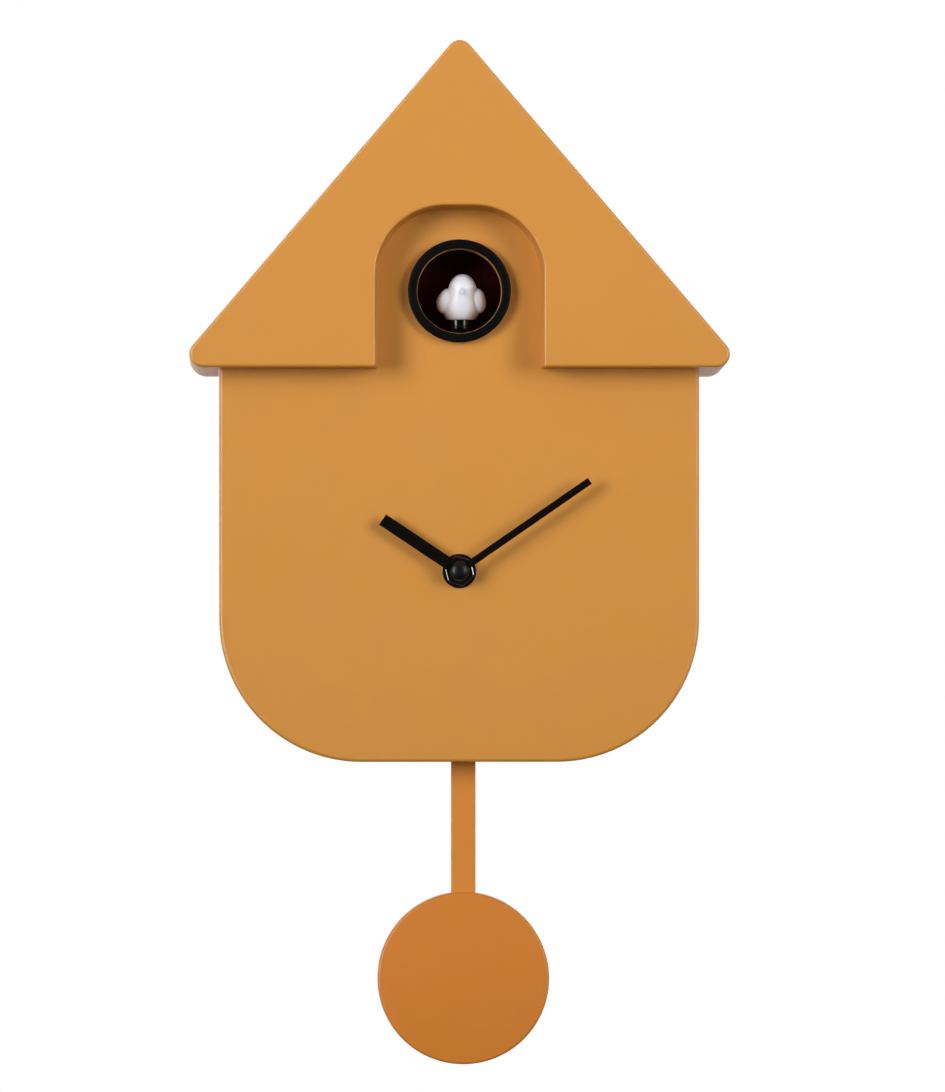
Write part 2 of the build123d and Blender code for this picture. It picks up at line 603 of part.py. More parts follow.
# A black drum behind the porthole hides the works; the bird's slide passes its rear wall.
with BuildPart() as bird_chamber:
    with BuildSketch(front_plane(CHAMBER_BACK_Y, z=PORTHOLE_Z)):
        Circle(chamber_outer_r)
    extrude(amount=chamber_depth)
    with BuildSketch(front_plane(INNER_FACE_Y + CHAMBER_WALL, z=PORTHOLE_Z)):
        Circle(CHAMBER_FLANGE_R)
    extrude(amount=CHAMBER_WALL)
    with BuildSketch(front_plane(CHAMBER_BACK_Y - CHAMBER_WALL, z=PORTHOLE_Z)):
        Circle(CHAMBER_INNER_R)
    extrude(amount=chamber_depth, mode=Mode.SUBTRACT)
    with BuildSketch(front_plane(CHAMBER_BACK_Y, z=PORTHOLE_Z)):
        with PolarLocations(peg_circle_r, RING_PEGS, start_angle=90):
            Circle(RING_PEG_R + PILOT_PLAY)
    extrude(amount=chamber_depth, mode=Mode.SUBTRACT)
    slot_height = RACK_HEIGHT + SLIDE_T + 2 * SLIDE_PLAY
    with BuildSketch(front_plane(CHAMBER_BACK_Y, BIRD_X, rack_tip_z - SLIDE_PLAY)):
        Rectangle(SLIDE_WIDTH + 2 * SLIDE_PLAY, slot_height, align=(Align.CENTER, Align.MIN))
    extrude(amount=CHAMBER_WALL, mode=Mode.SUBTRACT)
finish(bird_chamber.part, "bird_chamber")


def egg(x, y, z, length, radius):
    """Add an ellipsoid of revolution whose long axis lies along Y."""
    ball = Sphere(1, mode=Mode.PRIVATE)
    stretched = scale(ball, by=(radius, length / 2, radius), mode=Mode.PRIVATE)
    add(Pos(x, y, z) * stretched)


# A plump little bird: egg-shaped body and wings, round head, short beak, wedge tail.
body_centre_z = PORTHOLE_Z + BIRD_FOOT + BIRD_BODY_R + 0.4
head_z = PORTHOLE_Z + BIRD_TOP - HEAD_R
head_y = BIRD_Y - HEAD_FORWARD
with BuildPart() as bird:
    egg(BIRD_X, BIRD_Y, body_centre_z, BIRD_BODY_LENGTH, BIRD_BODY_R)
    for side in (-1, 1):
        wing_x = BIRD_X + side * (BIRD_WIDTH / 2 - WING_R)
        egg(wing_x, BIRD_Y + 0.8, body_centre_z - 0.3, WING_LENGTH, WING_R)
    with Locations((BIRD_X, head_y, head_z)):
        Sphere(HEAD_R)
    with BuildSketch(Plane.XY.offset(PORTHOLE_Z + BIRD_FOOT)):
        with Locations((BIRD_X, BIRD_Y)):
            Circle(PEDESTAL_R - 0.4)
    extrude(amount=BIRD_BODY_R)
    beak_y = head_y - HEAD_R + 0.4 - BEAK_LENGTH / 2
    with Locations(front_plane(beak_y, BIRD_X, head_z - 1.2)):
        Cone(BEAK_R, 0.35, BEAK_LENGTH)
    tail_root_y = BIRD_Y + BIRD_BODY_LENGTH / 2 - 4.0
    with BuildSketch(front_plane(TAIL_TIP_Y, BIRD_X - 0.6, body_centre_z + 4.4)) as tail_tip:
        RectangleRounded(6.4, 1.6, 0.7)
    with BuildSketch(front_plane(tail_root_y, BIRD_X, body_centre_z + 1.0)) as tail_root:
        RectangleRounded(8.0, 6.0, 2.0)
    loft([tail_tip.sketch, tail_root.sketch])
finish(bird.part, "bird")

with BuildPart() as bird_pedestal:
    with BuildSketch(Plane.XY.offset(rack_tip_z)):
        with Locations((BIRD_X, BIRD_Y)):
            Circle(PEDESTAL_BASE_R)
    extrude(amount=PEDESTAL_BASE_T)
    with BuildSketch(Plane.XY.offset(rack_tip_z)):
        with Locations((BIRD_X, BIRD_Y)):
            Circle(PEDESTAL_R)
    extrude(amount=BIRD_FOOT - PEDESTAL_BOTTOM)
    with BuildSketch(front_plane(slide_front_y, BIRD_X, rack_tip_z)):
        Rectangle(SLIDE_WIDTH, RACK_HEIGHT + SLIDE_T, align=(Align.CENTER, Align.MIN))
    extrude(amount=PEDESTAL_BASE_R)
finish(bird_pedestal.part, "bird_pedestal")

# The slide is a flat bar with a narrower rack under its rear half.
tooth_pitch = pi * GEAR_MODULE
rack_teeth = int((slide_rear_y - GEAR_Y) / tooth_pitch) + 3
with BuildPart() as bird_rack:
    with BuildSketch(front_plane(slide_rear_y, BIRD_X, slide_shoulder_z)):
        Rectangle(SLIDE_WIDTH, SLIDE_T, align=(Align.CENTER, Align.MIN))
    extrude(amount=slide_rear_y - slide_front_y)
    with BuildSketch(side_plane(BIRD_X - RACK_WIDTH / 2)) as rack_profile:
        root_z = rack_pitch_z + 1.15 * GEAR_MODULE
        with Locations((slide_rear_y, root_z)):
            Rectangle(slide_rear_y - slide_front_y, slide_shoulder_z - root_z, align=(Align.MAX, Align.MIN))
        root_half = 0.25 * tooth_pitch
        tip_half = 0.11 * tooth_pitch
        for step in range(-2, rack_teeth - 2):
            tooth_y = GEAR_Y + (step + 0.5) * tooth_pitch
            if tooth_y + root_half < slide_rear_y:
                Polygon(
                    (tooth_y - root_half, root_z), (tooth_y - tip_half, rack_tip_z),
                    (tooth_y + tip_half, rack_tip_z), (tooth_y + root_half, root_z), align=None,
                )
    extrude(amount=RACK_WIDTH)
finish(bird_rack.part, "bird_rack")

guide_half = SLIDE_WIDTH / 2 + SLIDE_PLAY + GUIDE_WALL
guide_top_z = slide_top_z + SLIDE_PLAY + 2 * GUIDE_WALL
guide_depth = GUIDE_REAR_Y - CHAMBER_BACK_Y
with BuildPart() as slide_rail:
    with BuildSketch(front_plane(GUIDE_REAR_Y, BIRD_X)):
        with Locations((0, rack_tip_z)):
            Rectangle(2 * guide_half, guide_top_z - rack_tip_z, align=(Align.CENTER, Align.MIN))
        with Locations((0, slide_shoulder_z - SLIDE_PLAY)):
            channel = SLIDE_WIDTH + 2 * SLIDE_PLAY
            Rectangle(channel, SLIDE_T + 2 * SLIDE_PLAY, align=(Align.CENTER, Align.MIN), mode=Mode.SUBTRACT)
        with Locations((0, rack_tip_z)):
            throat = RACK_WIDTH + 2 * SLIDE_PLAY
            Rectangle(throat, RACK_HEIGHT, align=(Align.CENTER, Align.MIN), mode=Mode.SUBTRACT)
    extrude(amount=guide_depth)
finish(slide_rail.part, "slide_rail")

# ================================================================== bird drive
drive_reach = GEAR_MODULE * (DRIVE_WHEEL_TEETH + MOTOR_PINION_TEETH) / 2
motor_z = gear_z - drive_reach
drive_wheel_x = BIRD_X + guide_half + 0.5
bracket_x = drive_wheel_x + GEAR_T + 0.6
bracket_left_x = BIRD_X - guide_half - BRACKET_T
hub_r = 2.2
drive_wheel_turn = -90.0
with BuildPart() as rack_gear:
    rack_half = RACK_WIDTH / 2 - 0.1
    small_outline = gear_outline(GEAR_MODULE, RACK_GEAR_TEETH, 90)
    prism(small_outline, side_plane(BIRD_X - rack_half, GEAR_Y, gear_z), 2 * rack_half)
    wheel_outline = gear_outline(GEAR_MODULE, DRIVE_WHEEL_TEETH, drive_wheel_turn)
    prism(wheel_outline, side_plane(drive_wheel_x, GEAR_Y, gear_z), GEAR_T)
    hub_start_x = BIRD_X - guide_half + 0.3
    with BuildSketch(side_plane(hub_start_x, GEAR_Y, gear_z)):
        Circle(hub_r)
    extrude(amount=bracket_x - 0.3 - hub_start_x)
    with BuildSketch(side_plane(hub_start_x, GEAR_Y, gear_z)):
        Circle(AXLE_R + BORE_PLAY)
    extrude(amount=bracket_x - hub_start_x, mode=Mode.SUBTRACT)
finish(rack_gear.part, "rack_gear")

with BuildPart() as rack_gear_axle:
    with BuildSketch(side_plane(bracket_left_x, GEAR_Y, gear_z)):
        Circle(AXLE_R)
    extrude(amount=bracket_x + BRACKET_T - bracket_left_x)
finish(rack_gear_axle.part, "rack_gear_axle")

motor_boss_r = 3.0
motor_shaft_r = 0.8
motor_shaft_depth = 6.0
motor_x = bracket_x + BRACKET_T
with BuildPart() as motor_bracket:
    plate_front = CHAMBER_BACK_Y - GEAR_Y
    plate_rear = 10.0
    web_z = guide_top_z + BRACKET_T
    with BuildSketch(side_plane(bracket_x, GEAR_Y)):
        with BuildLine():
            Polyline(
                (plate_front, web_z), (plate_rear, web_z), (plate_rear, motor_z - MOTOR_R),
                (plate_front, motor_z - MOTOR_R), close=True,
            )
        make_face()
    extrude(amount=BRACKET_T)
    with BuildSketch(side_plane(bracket_left_x, GEAR_Y)):
        with BuildLine():
            Polyline(
                (plate_front, web_z), (plate_rear, web_z), (plate_rear, gear_z - 4 * AXLE_R),
                (plate_front, gear_z - 4 * AXLE_R), close=True,
            )
        make_face()
    extrude(amount=BRACKET_T)
    with BuildSketch(side_plane(bracket_left_x, GEAR_Y)):
        with BuildLine():
            Polyline(
                (plate_front, guide_top_z), (plate_rear, guide_top_z), (plate_rear, web_z),
                (plate_front, web_z), close=True,
            )
        make_face()
    extrude(amount=bracket_x - bracket_left_x)
    with BuildSketch(side_plane(bracket_left_x)):
        with Locations((GEAR_Y, gear_z)):
            Circle(AXLE_R)
        with Locations((GEAR_Y, motor_z)):
            Circle(motor_boss_r)
    extrude(amount=bracket_x + BRACKET_T - bracket_left_x, mode=Mode.SUBTRACT)
finish(motor_bracket.part, "motor_bracket")

with BuildPart() as bird_motor:
    with BuildSketch(side_plane(motor_x, GEAR_Y, motor_z)):
        Circle(MOTOR_R)
    extrude(amount=MOTOR_LENGTH)
    fillet(bird_motor.faces().filter_by(GeomType.CYLINDER).edges().filter_by(GeomType.CIRCLE), 0.8)
    with BuildSketch(side_plane(bracket_x, GEAR_Y, motor_z)):
        Circle(motor_boss_r)
    extrude(amount=BRACKET_T)
    with BuildSketch(side_plane(motor_x + MOTOR_LENGTH, GEAR_Y, motor_z)):
        with Locations((0, -MOTOR_R / 2), (0, MOTOR_R / 2)):
            Rectangle(2.4, 0.5)
    extrude(amount=3.0)
    with BuildSketch(side_plane(bracket_x, GEAR_Y, motor_z)):
        Circle(motor_shaft_r + BORE_PLAY)
    extrude(amount=motor_shaft_depth + 0.5, mode=Mode.SUBTRACT)
finish(bird_motor.part, "bird_motor")

with BuildPart() as motor_pinion:
    pinion_turn = meshed_turn(drive_wheel_turn, DRIVE_WHEEL_TEETH, -90, MOTOR_PINION_TEETH)
    pinion_outline = gear_outline(GEAR_MODULE, MOTOR_PINION_TEETH, pinion_turn)
    prism(pinion_outline, side_plane(drive_wheel_x - 0.3, GEAR_Y, motor_z), GEAR_T + 0.6)
    with BuildSketch(side_plane(drive_wheel_x, GEAR_Y, motor_z)):
        Circle(motor_shaft_r)
    extrude(amount=bracket_x + motor_shaft_depth - drive_wheel_x)
finish(motor_pinion.part, "motor_pinion")

# ================================================================== clock movement
movement_split_y = MOVEMENT_FRONT_Y + CASE_HALF_DEPTH
case_inner = CASE_SIZE - 2 * CASE_WALL
case_front_inner_y = MOVEMENT_FRONT_Y + CASE_WALL
case_rear_inner_y = MOVEMENT_REAR_Y - CASE_WALL
nut_front_y = BODY_FACE_Y - NUT_FLANGE_T - NUT_HEX_T
hour_hand_y = nut_front_y - HAND_CLEARANCE
pipe_end_y = hour_hand_y - HAND_T
minute_hand_y = pipe_end_y - HAND_CLEARANCE
arbor_end_y = minute_hand_y - HAND_T
hour_wheel_y = case_front_inner_y + 1.7
minute_wheel_y = hour_wheel_y + 2 * WHEEL_T
cannon_turn = 0.0
minute_wheel_turn = meshed_turn(cannon_turn, CANNON_TEETH, MINUTE_WHEEL_SIDE, MINUTE_WHEEL_TEETH)
hour_turn = meshed_turn(0.0, MINUTE_PINION_TEETH, MINUTE_WHEEL_SIDE + 180, HOUR_WHEEL_TEETH)
knob_turn = meshed_turn(minute_wheel_turn, MINUTE_WHEEL_TEETH, KNOB_SIDE, CANNON_TEETH)
minute_axle_r = 0.8

with BuildPart() as movement_washer:
    with BuildSketch(front_plane(MOVEMENT_FRONT_Y, z=HUB_Z)):
        Circle(9.0)
        Circle(BUSHING_R + SCREW_PLAY / 2, mode=Mode.SUBTRACT)
    extrude(amount=WASHER_T)
finish(movement_washer.part, "movement_washer")

with BuildPart() as movement_front_case:
    with BuildSketch(front_plane(movement_split_y, z=HUB_Z)):
        RectangleRounded(CASE_SIZE, CASE_SIZE, CASE_CORNER_R)
    extrude(amount=CASE_HALF_DEPTH)
    with BuildSketch(front_plane(movement_split_y, z=HUB_Z)):
        RectangleRounded(case_inner, case_inner, CASE_CORNER_R - CASE_WALL)
    extrude(amount=CASE_HALF_DEPTH - CASE_WALL, mode=Mode.SUBTRACT)
    discs([(0, HUB_Z)], BUSHING_R, MOVEMENT_FRONT_Y, BUSHING_LENGTH)
    bore_length = BUSHING_LENGTH + CASE_WALL
    discs([(0, HUB_Z)], PIPE_R + BORE_PLAY, case_front_inner_y, bore_length, Mode.SUBTRACT)
finish(movement_front_case.part, "movement_front_case")

with BuildPart() as movement_rear_case:
    with BuildSketch(front_plane(MOVEMENT_REAR_Y, z=HUB_Z)):
        RectangleRounded(CASE_SIZE, CASE_SIZE, CASE_CORNER_R)
    extrude(amount=CASE_HALF_DEPTH)
    with BuildSketch(front_plane(case_rear_inner_y, z=HUB_Z)):
        RectangleRounded(case_inner, case_inner, CASE_CORNER_R - CASE_WALL)
    extrude(amount=CASE_HALF_DEPTH, mode=Mode.SUBTRACT)
    stator_post_height = 6.1
    discs([(-20.0, HUB_Z + 1.5), (20.0, HUB_Z + 1.5)], 1.5, case_rear_inner_y, stator_post_height)
    discs([(-20.0, HUB_Z - 14.0), (20.0, HUB_Z - 14.0)], 2.0, case_rear_inner_y, BOARD_REST_H)
    discs([(knob_x, knob_z)], KNOB_SHAFT_R + BORE_PLAY, MOVEMENT_REAR_Y, CASE_WALL, Mode.SUBTRACT)
finish(movement_rear_case.part, "movement_rear_case")

with BuildPart() as fixing_nut:
    discs([(0, HUB_Z)], NUT_FLANGE_R, BODY_FACE_Y, NUT_FLANGE_T)
    with BuildSketch(front_plane(BODY_FACE_Y - NUT_FLANGE_T, z=HUB_Z)):
        RegularPolygon(NUT_HEX_R, 6, rotation=NUT_TURN)
    extrude(amount=NUT_HEX_T)
    chamfer(fixing_nut.faces().sort_by(Axis.Y)[0].edges(), 0.35)
    discs([(0, HUB_Z)], BUSHING_R + PILOT_PLAY, BODY_FACE_Y, NUT_FLANGE_T + NUT_HEX_T, Mode.SUBTRACT)
finish(fixing_nut.part, "fixing_nut")

# The hour wheel's pipe turns in the bushing and carries the hour hand.
with BuildPart() as hour_wheel:
    prism(gear_outline(HOUR_MODULE, HOUR_WHEEL_TEETH, hour_turn), front_plane(hour_wheel_y, z=HUB_Z), WHEEL_T)
    discs([(0, HUB_Z)], PIPE_R, hour_wheel_y, hour_wheel_y - pipe_end_y)
    pipe_length = hour_wheel_y - pipe_end_y
    discs([(0, HUB_Z)], ARBOR_R + BORE_PLAY, hour_wheel_y, pipe_length, Mode.SUBTRACT)
finish(hour_wheel.part, "hour_wheel")


def hand_plane(y, turn):
    """A drawing plane whose up direction is turned clockwise from twelve about the hub."""
    across = (cos(radians(turn)), 0, -sin(radians(turn)))
    return Plane(origin=(0, y, HUB_Z), x_dir=across, z_dir=(0, -1, 0))


with BuildPart() as hour_hand:
    with BuildSketch(hand_plane(hour_hand_y, HOUR_HAND_TURN)):
        Rectangle(HOUR_HAND_WIDTH, HOUR_HAND_LENGTH, align=(Align.CENTER, Align.MIN))
        Circle(HAND_HUB_R)
        Circle(PIPE_R, mode=Mode.SUBTRACT)
    extrude(amount=HAND_T)
finish(hour_hand.part, "hour_hand")

# The minute arbor turns inside the pipe; its cannon pinion drives the minute wheel.
with BuildPart() as minute_arbor:
    cannon_length = WHEEL_T + 0.4
    cannon_y = minute_wheel_y + 0.2
    prism(gear_outline(GEAR_MODULE, CANNON_TEETH, cannon_turn), front_plane(cannon_y, z=HUB_Z), cannon_length)
    discs([(0, HUB_Z)], ARBOR_R, cannon_y, cannon_y - arbor_end_y)
finish(minute_arbor.part, "minute_arbor")

with BuildPart() as minute_hand:
    with BuildSketch(hand_plane(minute_hand_y, MINUTE_HAND_TURN)):
        Rectangle(MINUTE_HAND_WIDTH, MINUTE_HAND_LENGTH, align=(Align.CENTER, Align.MIN))
        Circle(HAND_HUB_R)
        Circle(ARBOR_R, mode=Mode.SUBTRACT)
    extrude(amount=HAND_T)
finish(minute_hand.part, "minute_hand")

with BuildPart() as hand_cap:
    dome_r = (CAP_R ** 2 + CAP_H ** 2) / (2 * CAP_H)
    with BuildSketch(Plane(origin=(0, arbor_end_y, HUB_Z), x_dir=(1, 0, 0), z_dir=(0, 0, 1))) as dome:
        with Locations((0, dome_r - CAP_H)):
            Circle(dome_r)
        Rectangle(2 * CAP_R, CAP_H, align=(Align.MIN, Align.MAX), mode=Mode.INTERSECT)
    revolve(axis=Axis((0, arbor_end_y, HUB_Z), (0, 1, 0)))
finish(hand_cap.part, "hand_cap")

with BuildPart() as minute_wheel:
    wheel = gear_outline(GEAR_MODULE, MINUTE_WHEEL_TEETH, minute_wheel_turn)
    prism(wheel, front_plane(minute_wheel_y, wheel_x, wheel_z), WHEEL_T)
    pinion = gear_outline(HOUR_MODULE, MINUTE_PINION_TEETH)
    pinion_length = 2.2
    prism(pinion, front_plane(minute_wheel_y - WHEEL_T, wheel_x, wheel_z), pinion_length)
    discs([(wheel_x, wheel_z)], minute_axle_r + BORE_PLAY, minute_wheel_y, 2 * pinion_length, Mode.SUBTRACT)
finish(minute_wheel.part, "minute_wheel")

with BuildPart() as minute_wheel_axle:
    discs([(wheel_x, wheel_z)], minute_axle_r, case_rear_inner_y, case_rear_inner_y - case_front_inner_y)
finish(minute_wheel_axle.part, "minute_wheel_axle")

with BuildPart() as setting_knob:
    knob_front_y = -0.6 - KNOB_T
    knob_gear = gear_outline(GEAR_MODULE, CANNON_TEETH, knob_turn)
    prism(knob_gear, front_plane(cannon_y, knob_x, knob_z), cannon_length)
    discs([(knob_x, knob_z)], KNOB_SHAFT_R, knob_front_y, knob_front_y - cannon_y)
    with BuildSketch(front_plane(knob_front_y, knob_x, knob_z)):
        Circle(KNOB_R)
        with PolarLocations(KNOB_R + 0.4, 18):
            Circle(0.9, mode=Mode.SUBTRACT)
    extrude(amount=-KNOB_T)
finish(setting_knob.part, "setting_knob")

# The step motor's coil, its stator frame and the circuit board, sealed in the movement.
stator_y = case_rear_inner_y - stator_post_height
stator_t = 1.0
coil_z = HUB_Z - 18.0
with BuildPart() as step_stator:
    with BuildSketch(front_plane(stator_y, z=HUB_Z)):
        with Locations((0, -8.25)):
            Rectangle(44.0, 22.5)
            Rectangle(36.0, 16.5, mode=Mode.SUBTRACT)
    extrude(amount=stator_t)
finish(step_stator.part, "step_stator")

with BuildPart() as step_coil:
    coil_y = stator_y - stator_t / 2
    with BuildSketch(side_plane(-COIL_LENGTH / 2, coil_y, coil_z)):
        Circle(COIL_R)
        Rectangle(stator_t + 0.1, 3.1, mode=Mode.SUBTRACT)
    extrude(amount=COIL_LENGTH)
finish(step_coil.part, "step_coil")

movement_board_t = 0.8
with BuildPart() as movement_board:
    with BuildSketch(front_plane(case_rear_inner_y - BOARD_REST_H, z=HUB_Z)):
        with Locations((0, MOVEMENT_BOARD_GAP - case_inner / 2)):
            board_across = case_inner - 2 * MOVEMENT_BOARD_GAP
            Rectangle(board_across, MOVEMENT_BOARD_HEIGHT, align=(Align.CENTER, Align.MIN))
    extrude(amount=movement_board_t)
    chip_y = case_rear_inner_y - BOARD_REST_H - movement_board_t
    discs([(0, HUB_Z - 2 * COIL_R)], COIL_R, chip_y, 1.0)
finish(movement_board.part, "movement_board")

# ================================================================== pendulum
magnet_z = PIVOT_Z - MAGNET_DROP
coil_core_r = 2.0
pivot_boss_r = 3.5
pivot_boss_y = ARM_FRONT_Y - 2.0
pin_head_y = ARM_REAR_Y + 4.0
pin_head_r = 2.2
pin_head_t = 0.8
with BuildPart() as pendulum_bracket:
    with BuildSketch(front_plane(PLATE_REAR_Y, PENDULUM_X, PIVOT_Z)):
        with Locations((0, BRACKET_RISE)):
            bracket_height = 2 * BRACKET_RISE + MAGNET_DROP
            Rectangle(2 * BRACKET_HALF_WIDTH, bracket_height, align=(Align.CENTER, Align.MAX))
        fillet(vertices(), 3.0)
    extrude(amount=BRACKET_PLATE_T)
    discs([(PENDULUM_X, PIVOT_Z)], pivot_boss_r, pivot_boss_y, pivot_boss_y - PLATE_REAR_Y)
    discs([(PENDULUM_X, PIVOT_Z)], AXLE_R, pivot_boss_y, pivot_boss_y - MOVEMENT_REAR_Y - 1.0, Mode.SUBTRACT)
    discs([(PENDULUM_X, magnet_z)], coil_core_r, COIL_REAR_Y, DRIVE_COIL_T)
finish(pendulum_bracket.part, "pendulum_bracket")

with BuildPart() as pendulum_pin:
    pin_length = pin_head_y - MOVEMENT_REAR_Y - 1.0
    discs([(PENDULUM_X, PIVOT_Z)], AXLE_R, pin_head_y, pin_length)
    discs([(PENDULUM_X, PIVOT_Z)], pin_head_r, pin_head_y + pin_head_t, pin_head_t)
finish(pendulum_pin.part, "pendulum_pin")

with BuildPart() as drive_coil:
    with BuildSketch(front_plane(COIL_REAR_Y, PENDULUM_X, magnet_z)):
        Circle(DRIVE_COIL_R)
        Circle(coil_core_r, mode=Mode.SUBTRACT)
    extrude(amount=DRIVE_COIL_T)
finish(drive_coil.part, "drive_coil")

hook_z = (ROD_TOP_Z + ARM_BOTTOM_Z) / 2
hook_r = 1.8
with BuildPart() as pendulum_arm:
    hub_front_y = pivot_boss_y + 0.3
    hub_rear_y = pin_head_y - 0.3
    discs([(PENDULUM_X, PIVOT_Z)], ARM_HUB_R, hub_rear_y, hub_rear_y - hub_front_y)
    with BuildSketch(front_plane(ARM_REAR_Y, PENDULUM_X, PIVOT_Z)):
        Rectangle(ARM_WIDTH, PIVOT_Z - ROD_TOP_Z + ARM_T, align=(Align.CENTER, Align.MAX))
        Circle(ARM_HUB_R)
    extrude(amount=ARM_T)
    # Below the movement the arm steps forward and ends in a tongue that carries the rod.
    with BuildSketch(front_plane(ARM_REAR_Y, PENDULUM_X, ROD_TOP_Z)):
        Rectangle(ARM_WIDTH, ARM_T, align=(Align.CENTER, Align.MAX))
    extrude(amount=ARM_REAR_Y - ROD_REAR_Y)
    with BuildSketch(front_plane(ROD_REAR_Y + ARM_T, PENDULUM_X, ROD_TOP_Z)):
        Rectangle(ARM_WIDTH, ROD_TOP_Z - ARM_BOTTOM_Z, align=(Align.CENTER, Align.MAX))
    extrude(amount=ARM_T)
    discs([(PENDULUM_X, hook_z)], hook_r, ROD_REAR_Y + ARM_T / 2, ARM_T / 2 + ROD_T + 0.8)
    hub_length = hub_rear_y - hub_front_y
    discs([(PENDULUM_X, PIVOT_Z)], AXLE_R + BORE_PLAY, hub_rear_y, hub_length, Mode.SUBTRACT)
finish(pendulum_arm.part, "pendulum_arm")

with BuildPart() as drive_magnet:
    discs([(PENDULUM_X, magnet_z)], MAGNET_R, ARM_FRONT_Y, MAGNET_T)
finish(drive_magnet.part, "drive_magnet")

rod_bottom_z = BOB_Z + ROD_SEAT_RISE
bob_peg_z = BOB_Z + BOB_PEG_RISE
bob_front_y = ROD_FRONT_Y - BOB_PROUD
bob_rear_y = bob_front_y + BOB_T
bob_seam_y = bob_rear_y - BOB_WALL
bob_floor_y = bob_front_y + BOB_WALL
with BuildPart() as pendulum_rod:
    with BuildSketch(front_plane(ROD_REAR_Y, PENDULUM_X, ROD_TOP_Z)):
        Rectangle(ROD_WIDTH, ROD_TOP_Z - rod_bottom_z, align=(Align.CENTER, Align.MAX))
        fillet(vertices(), 1.5)
    extrude(amount=ROD_T)
    fillet(pendulum_rod.faces().sort_by(Axis.Y)[0].edges(), 0.5)
    discs([(PENDULUM_X, hook_z)], hook_r + 0.2, ROD_REAR_Y, ROD_T, Mode.SUBTRACT)
    discs([(PENDULUM_X, bob_peg_z)], hook_r + PILOT_PLAY, ROD_REAR_Y, ROD_T, Mode.SUBTRACT)
finish(pendulum_rod.part, "pendulum_rod")

# The bob is a shallow cup with a flat lid; a steel weight fills its lower half.
with BuildPart() as bob_front:
    discs([(PENDULUM_X, BOB_Z)], BOB_R, bob_seam_y, BOB_T - BOB_WALL)
    fillet(bob_front.faces().sort_by(Axis.Y)[0].edges(), BOB_EDGE_R)
    discs([(PENDULUM_X, BOB_Z)], BOB_R - BOB_WALL, bob_seam_y, bob_seam_y - bob_floor_y, Mode.SUBTRACT)
    discs([(PENDULUM_X, bob_peg_z)], 3.2, ROD_FRONT_Y, ROD_FRONT_Y - bob_floor_y)
    discs([(PENDULUM_X, bob_peg_z)], hook_r, ROD_REAR_Y, ROD_T)
    with BuildSketch(front_plane(bob_seam_y, PENDULUM_X, BOB_Z)):
        Rectangle(ROD_WIDTH + 0.4, BOB_R + BOB_WALL, align=(Align.CENTER, Align.MIN))
        Rectangle(ROD_WIDTH + 0.4, BOB_R - 2 * BOB_WALL, align=(Align.CENTER, Align.MIN), mode=Mode.SUBTRACT)
    extrude(amount=bob_seam_y - ROD_FRONT_Y + 0.2, mode=Mode.SUBTRACT)
finish(bob_front.part, "bob_front")

with BuildPart() as bob_back:
    discs([(PENDULUM_X, BOB_Z)], BOB_R, bob_rear_y, BOB_WALL)
    fillet(bob_back.faces().sort_by(Axis.Y)[-1].edges(), BOB_EDGE_R)
    with BuildSketch(front_plane(bob_seam_y, PENDULUM_X, BOB_Z)):
        with Locations((0, BOB_R)):
            Rectangle(ROD_WIDTH, 12.0, align=(Align.CENTER, Align.MAX))
        Circle(BOB_R, mode=Mode.INTERSECT)
    extrude(amount=bob_seam_y - ROD_REAR_Y)
finish(bob_back.part, "bob_back")

with BuildPart() as bob_weight:
    with BuildSketch(front_plane(bob_floor_y + WEIGHT_T, PENDULUM_X, BOB_Z)):
        Circle(WEIGHT_R)
        with Locations((0, 6.0)):
            Rectangle(2 * WEIGHT_R, WEIGHT_R, align=(Align.CENTER, Align.MIN), mode=Mode.SUBTRACT)
    extrude(amount=WEIGHT_T)
finish(bob_weight.part, "bob_weight")

# ================================================================== batteries
with BuildPart() as battery_box:
    with BuildSketch(front_plane(COVER_FACE_Y, BATTERY_X, BATTERY_Z)):
        Rectangle(box_inner_width + 2 * BOX_WALL, box_inner_height + 2 * BOX_WALL)
    extrude(amount=BOX_DEPTH + BOX_WALL)
    with BuildSketch(front_plane(COVER_FACE_Y, BATTERY_X, BATTERY_Z)):
        Rectangle(2 * ear_x + 6.0, 8.0)
    extrude(amount=BOX_WALL)
    with BuildSketch(front_plane(COVER_FACE_Y, BATTERY_X, BATTERY_Z)):
        Rectangle(box_inner_width, box_inner_height)
    extrude(amount=BOX_DEPTH, mode=Mode.SUBTRACT)
    discs(ear_spots, ear_peg_r + PILOT_PLAY, COVER_FACE_Y, BOX_WALL, Mode.SUBTRACT)
finish(battery_box.part, "battery_box")

cell_y = COVER_FACE_Y - BOX_DEPTH + CELL_R + 0.2
cell_low_z = BATTERY_Z - box_inner_height / 2 + CONTACT_T
cell_xs = [BATTERY_X + (index - (CELL_COUNT - 1) / 2) * CELL_PITCH for index in range(CELL_COUNT)]
nub_length = 1.2
with BuildPart() as batteries:
    for index, x in enumerate(cell_xs):
        upright = index % 2 == 0
        base_z = cell_low_z + (SPRING_ROOM if upright else nub_length)
        nub_z = base_z + CELL_LENGTH - nub_length if upright else cell_low_z
        with BuildSketch(Plane.XY.offset(base_z)):
            with Locations((x, cell_y)):
                Circle(CELL_R)
        extrude(amount=CELL_LENGTH - nub_length)
        with BuildSketch(Plane.XY.offset(nub_z)):
            with Locations((x, cell_y)):
                Circle(2.75)
        extrude(amount=nub_length)
finish(batteries.part, "batteries")

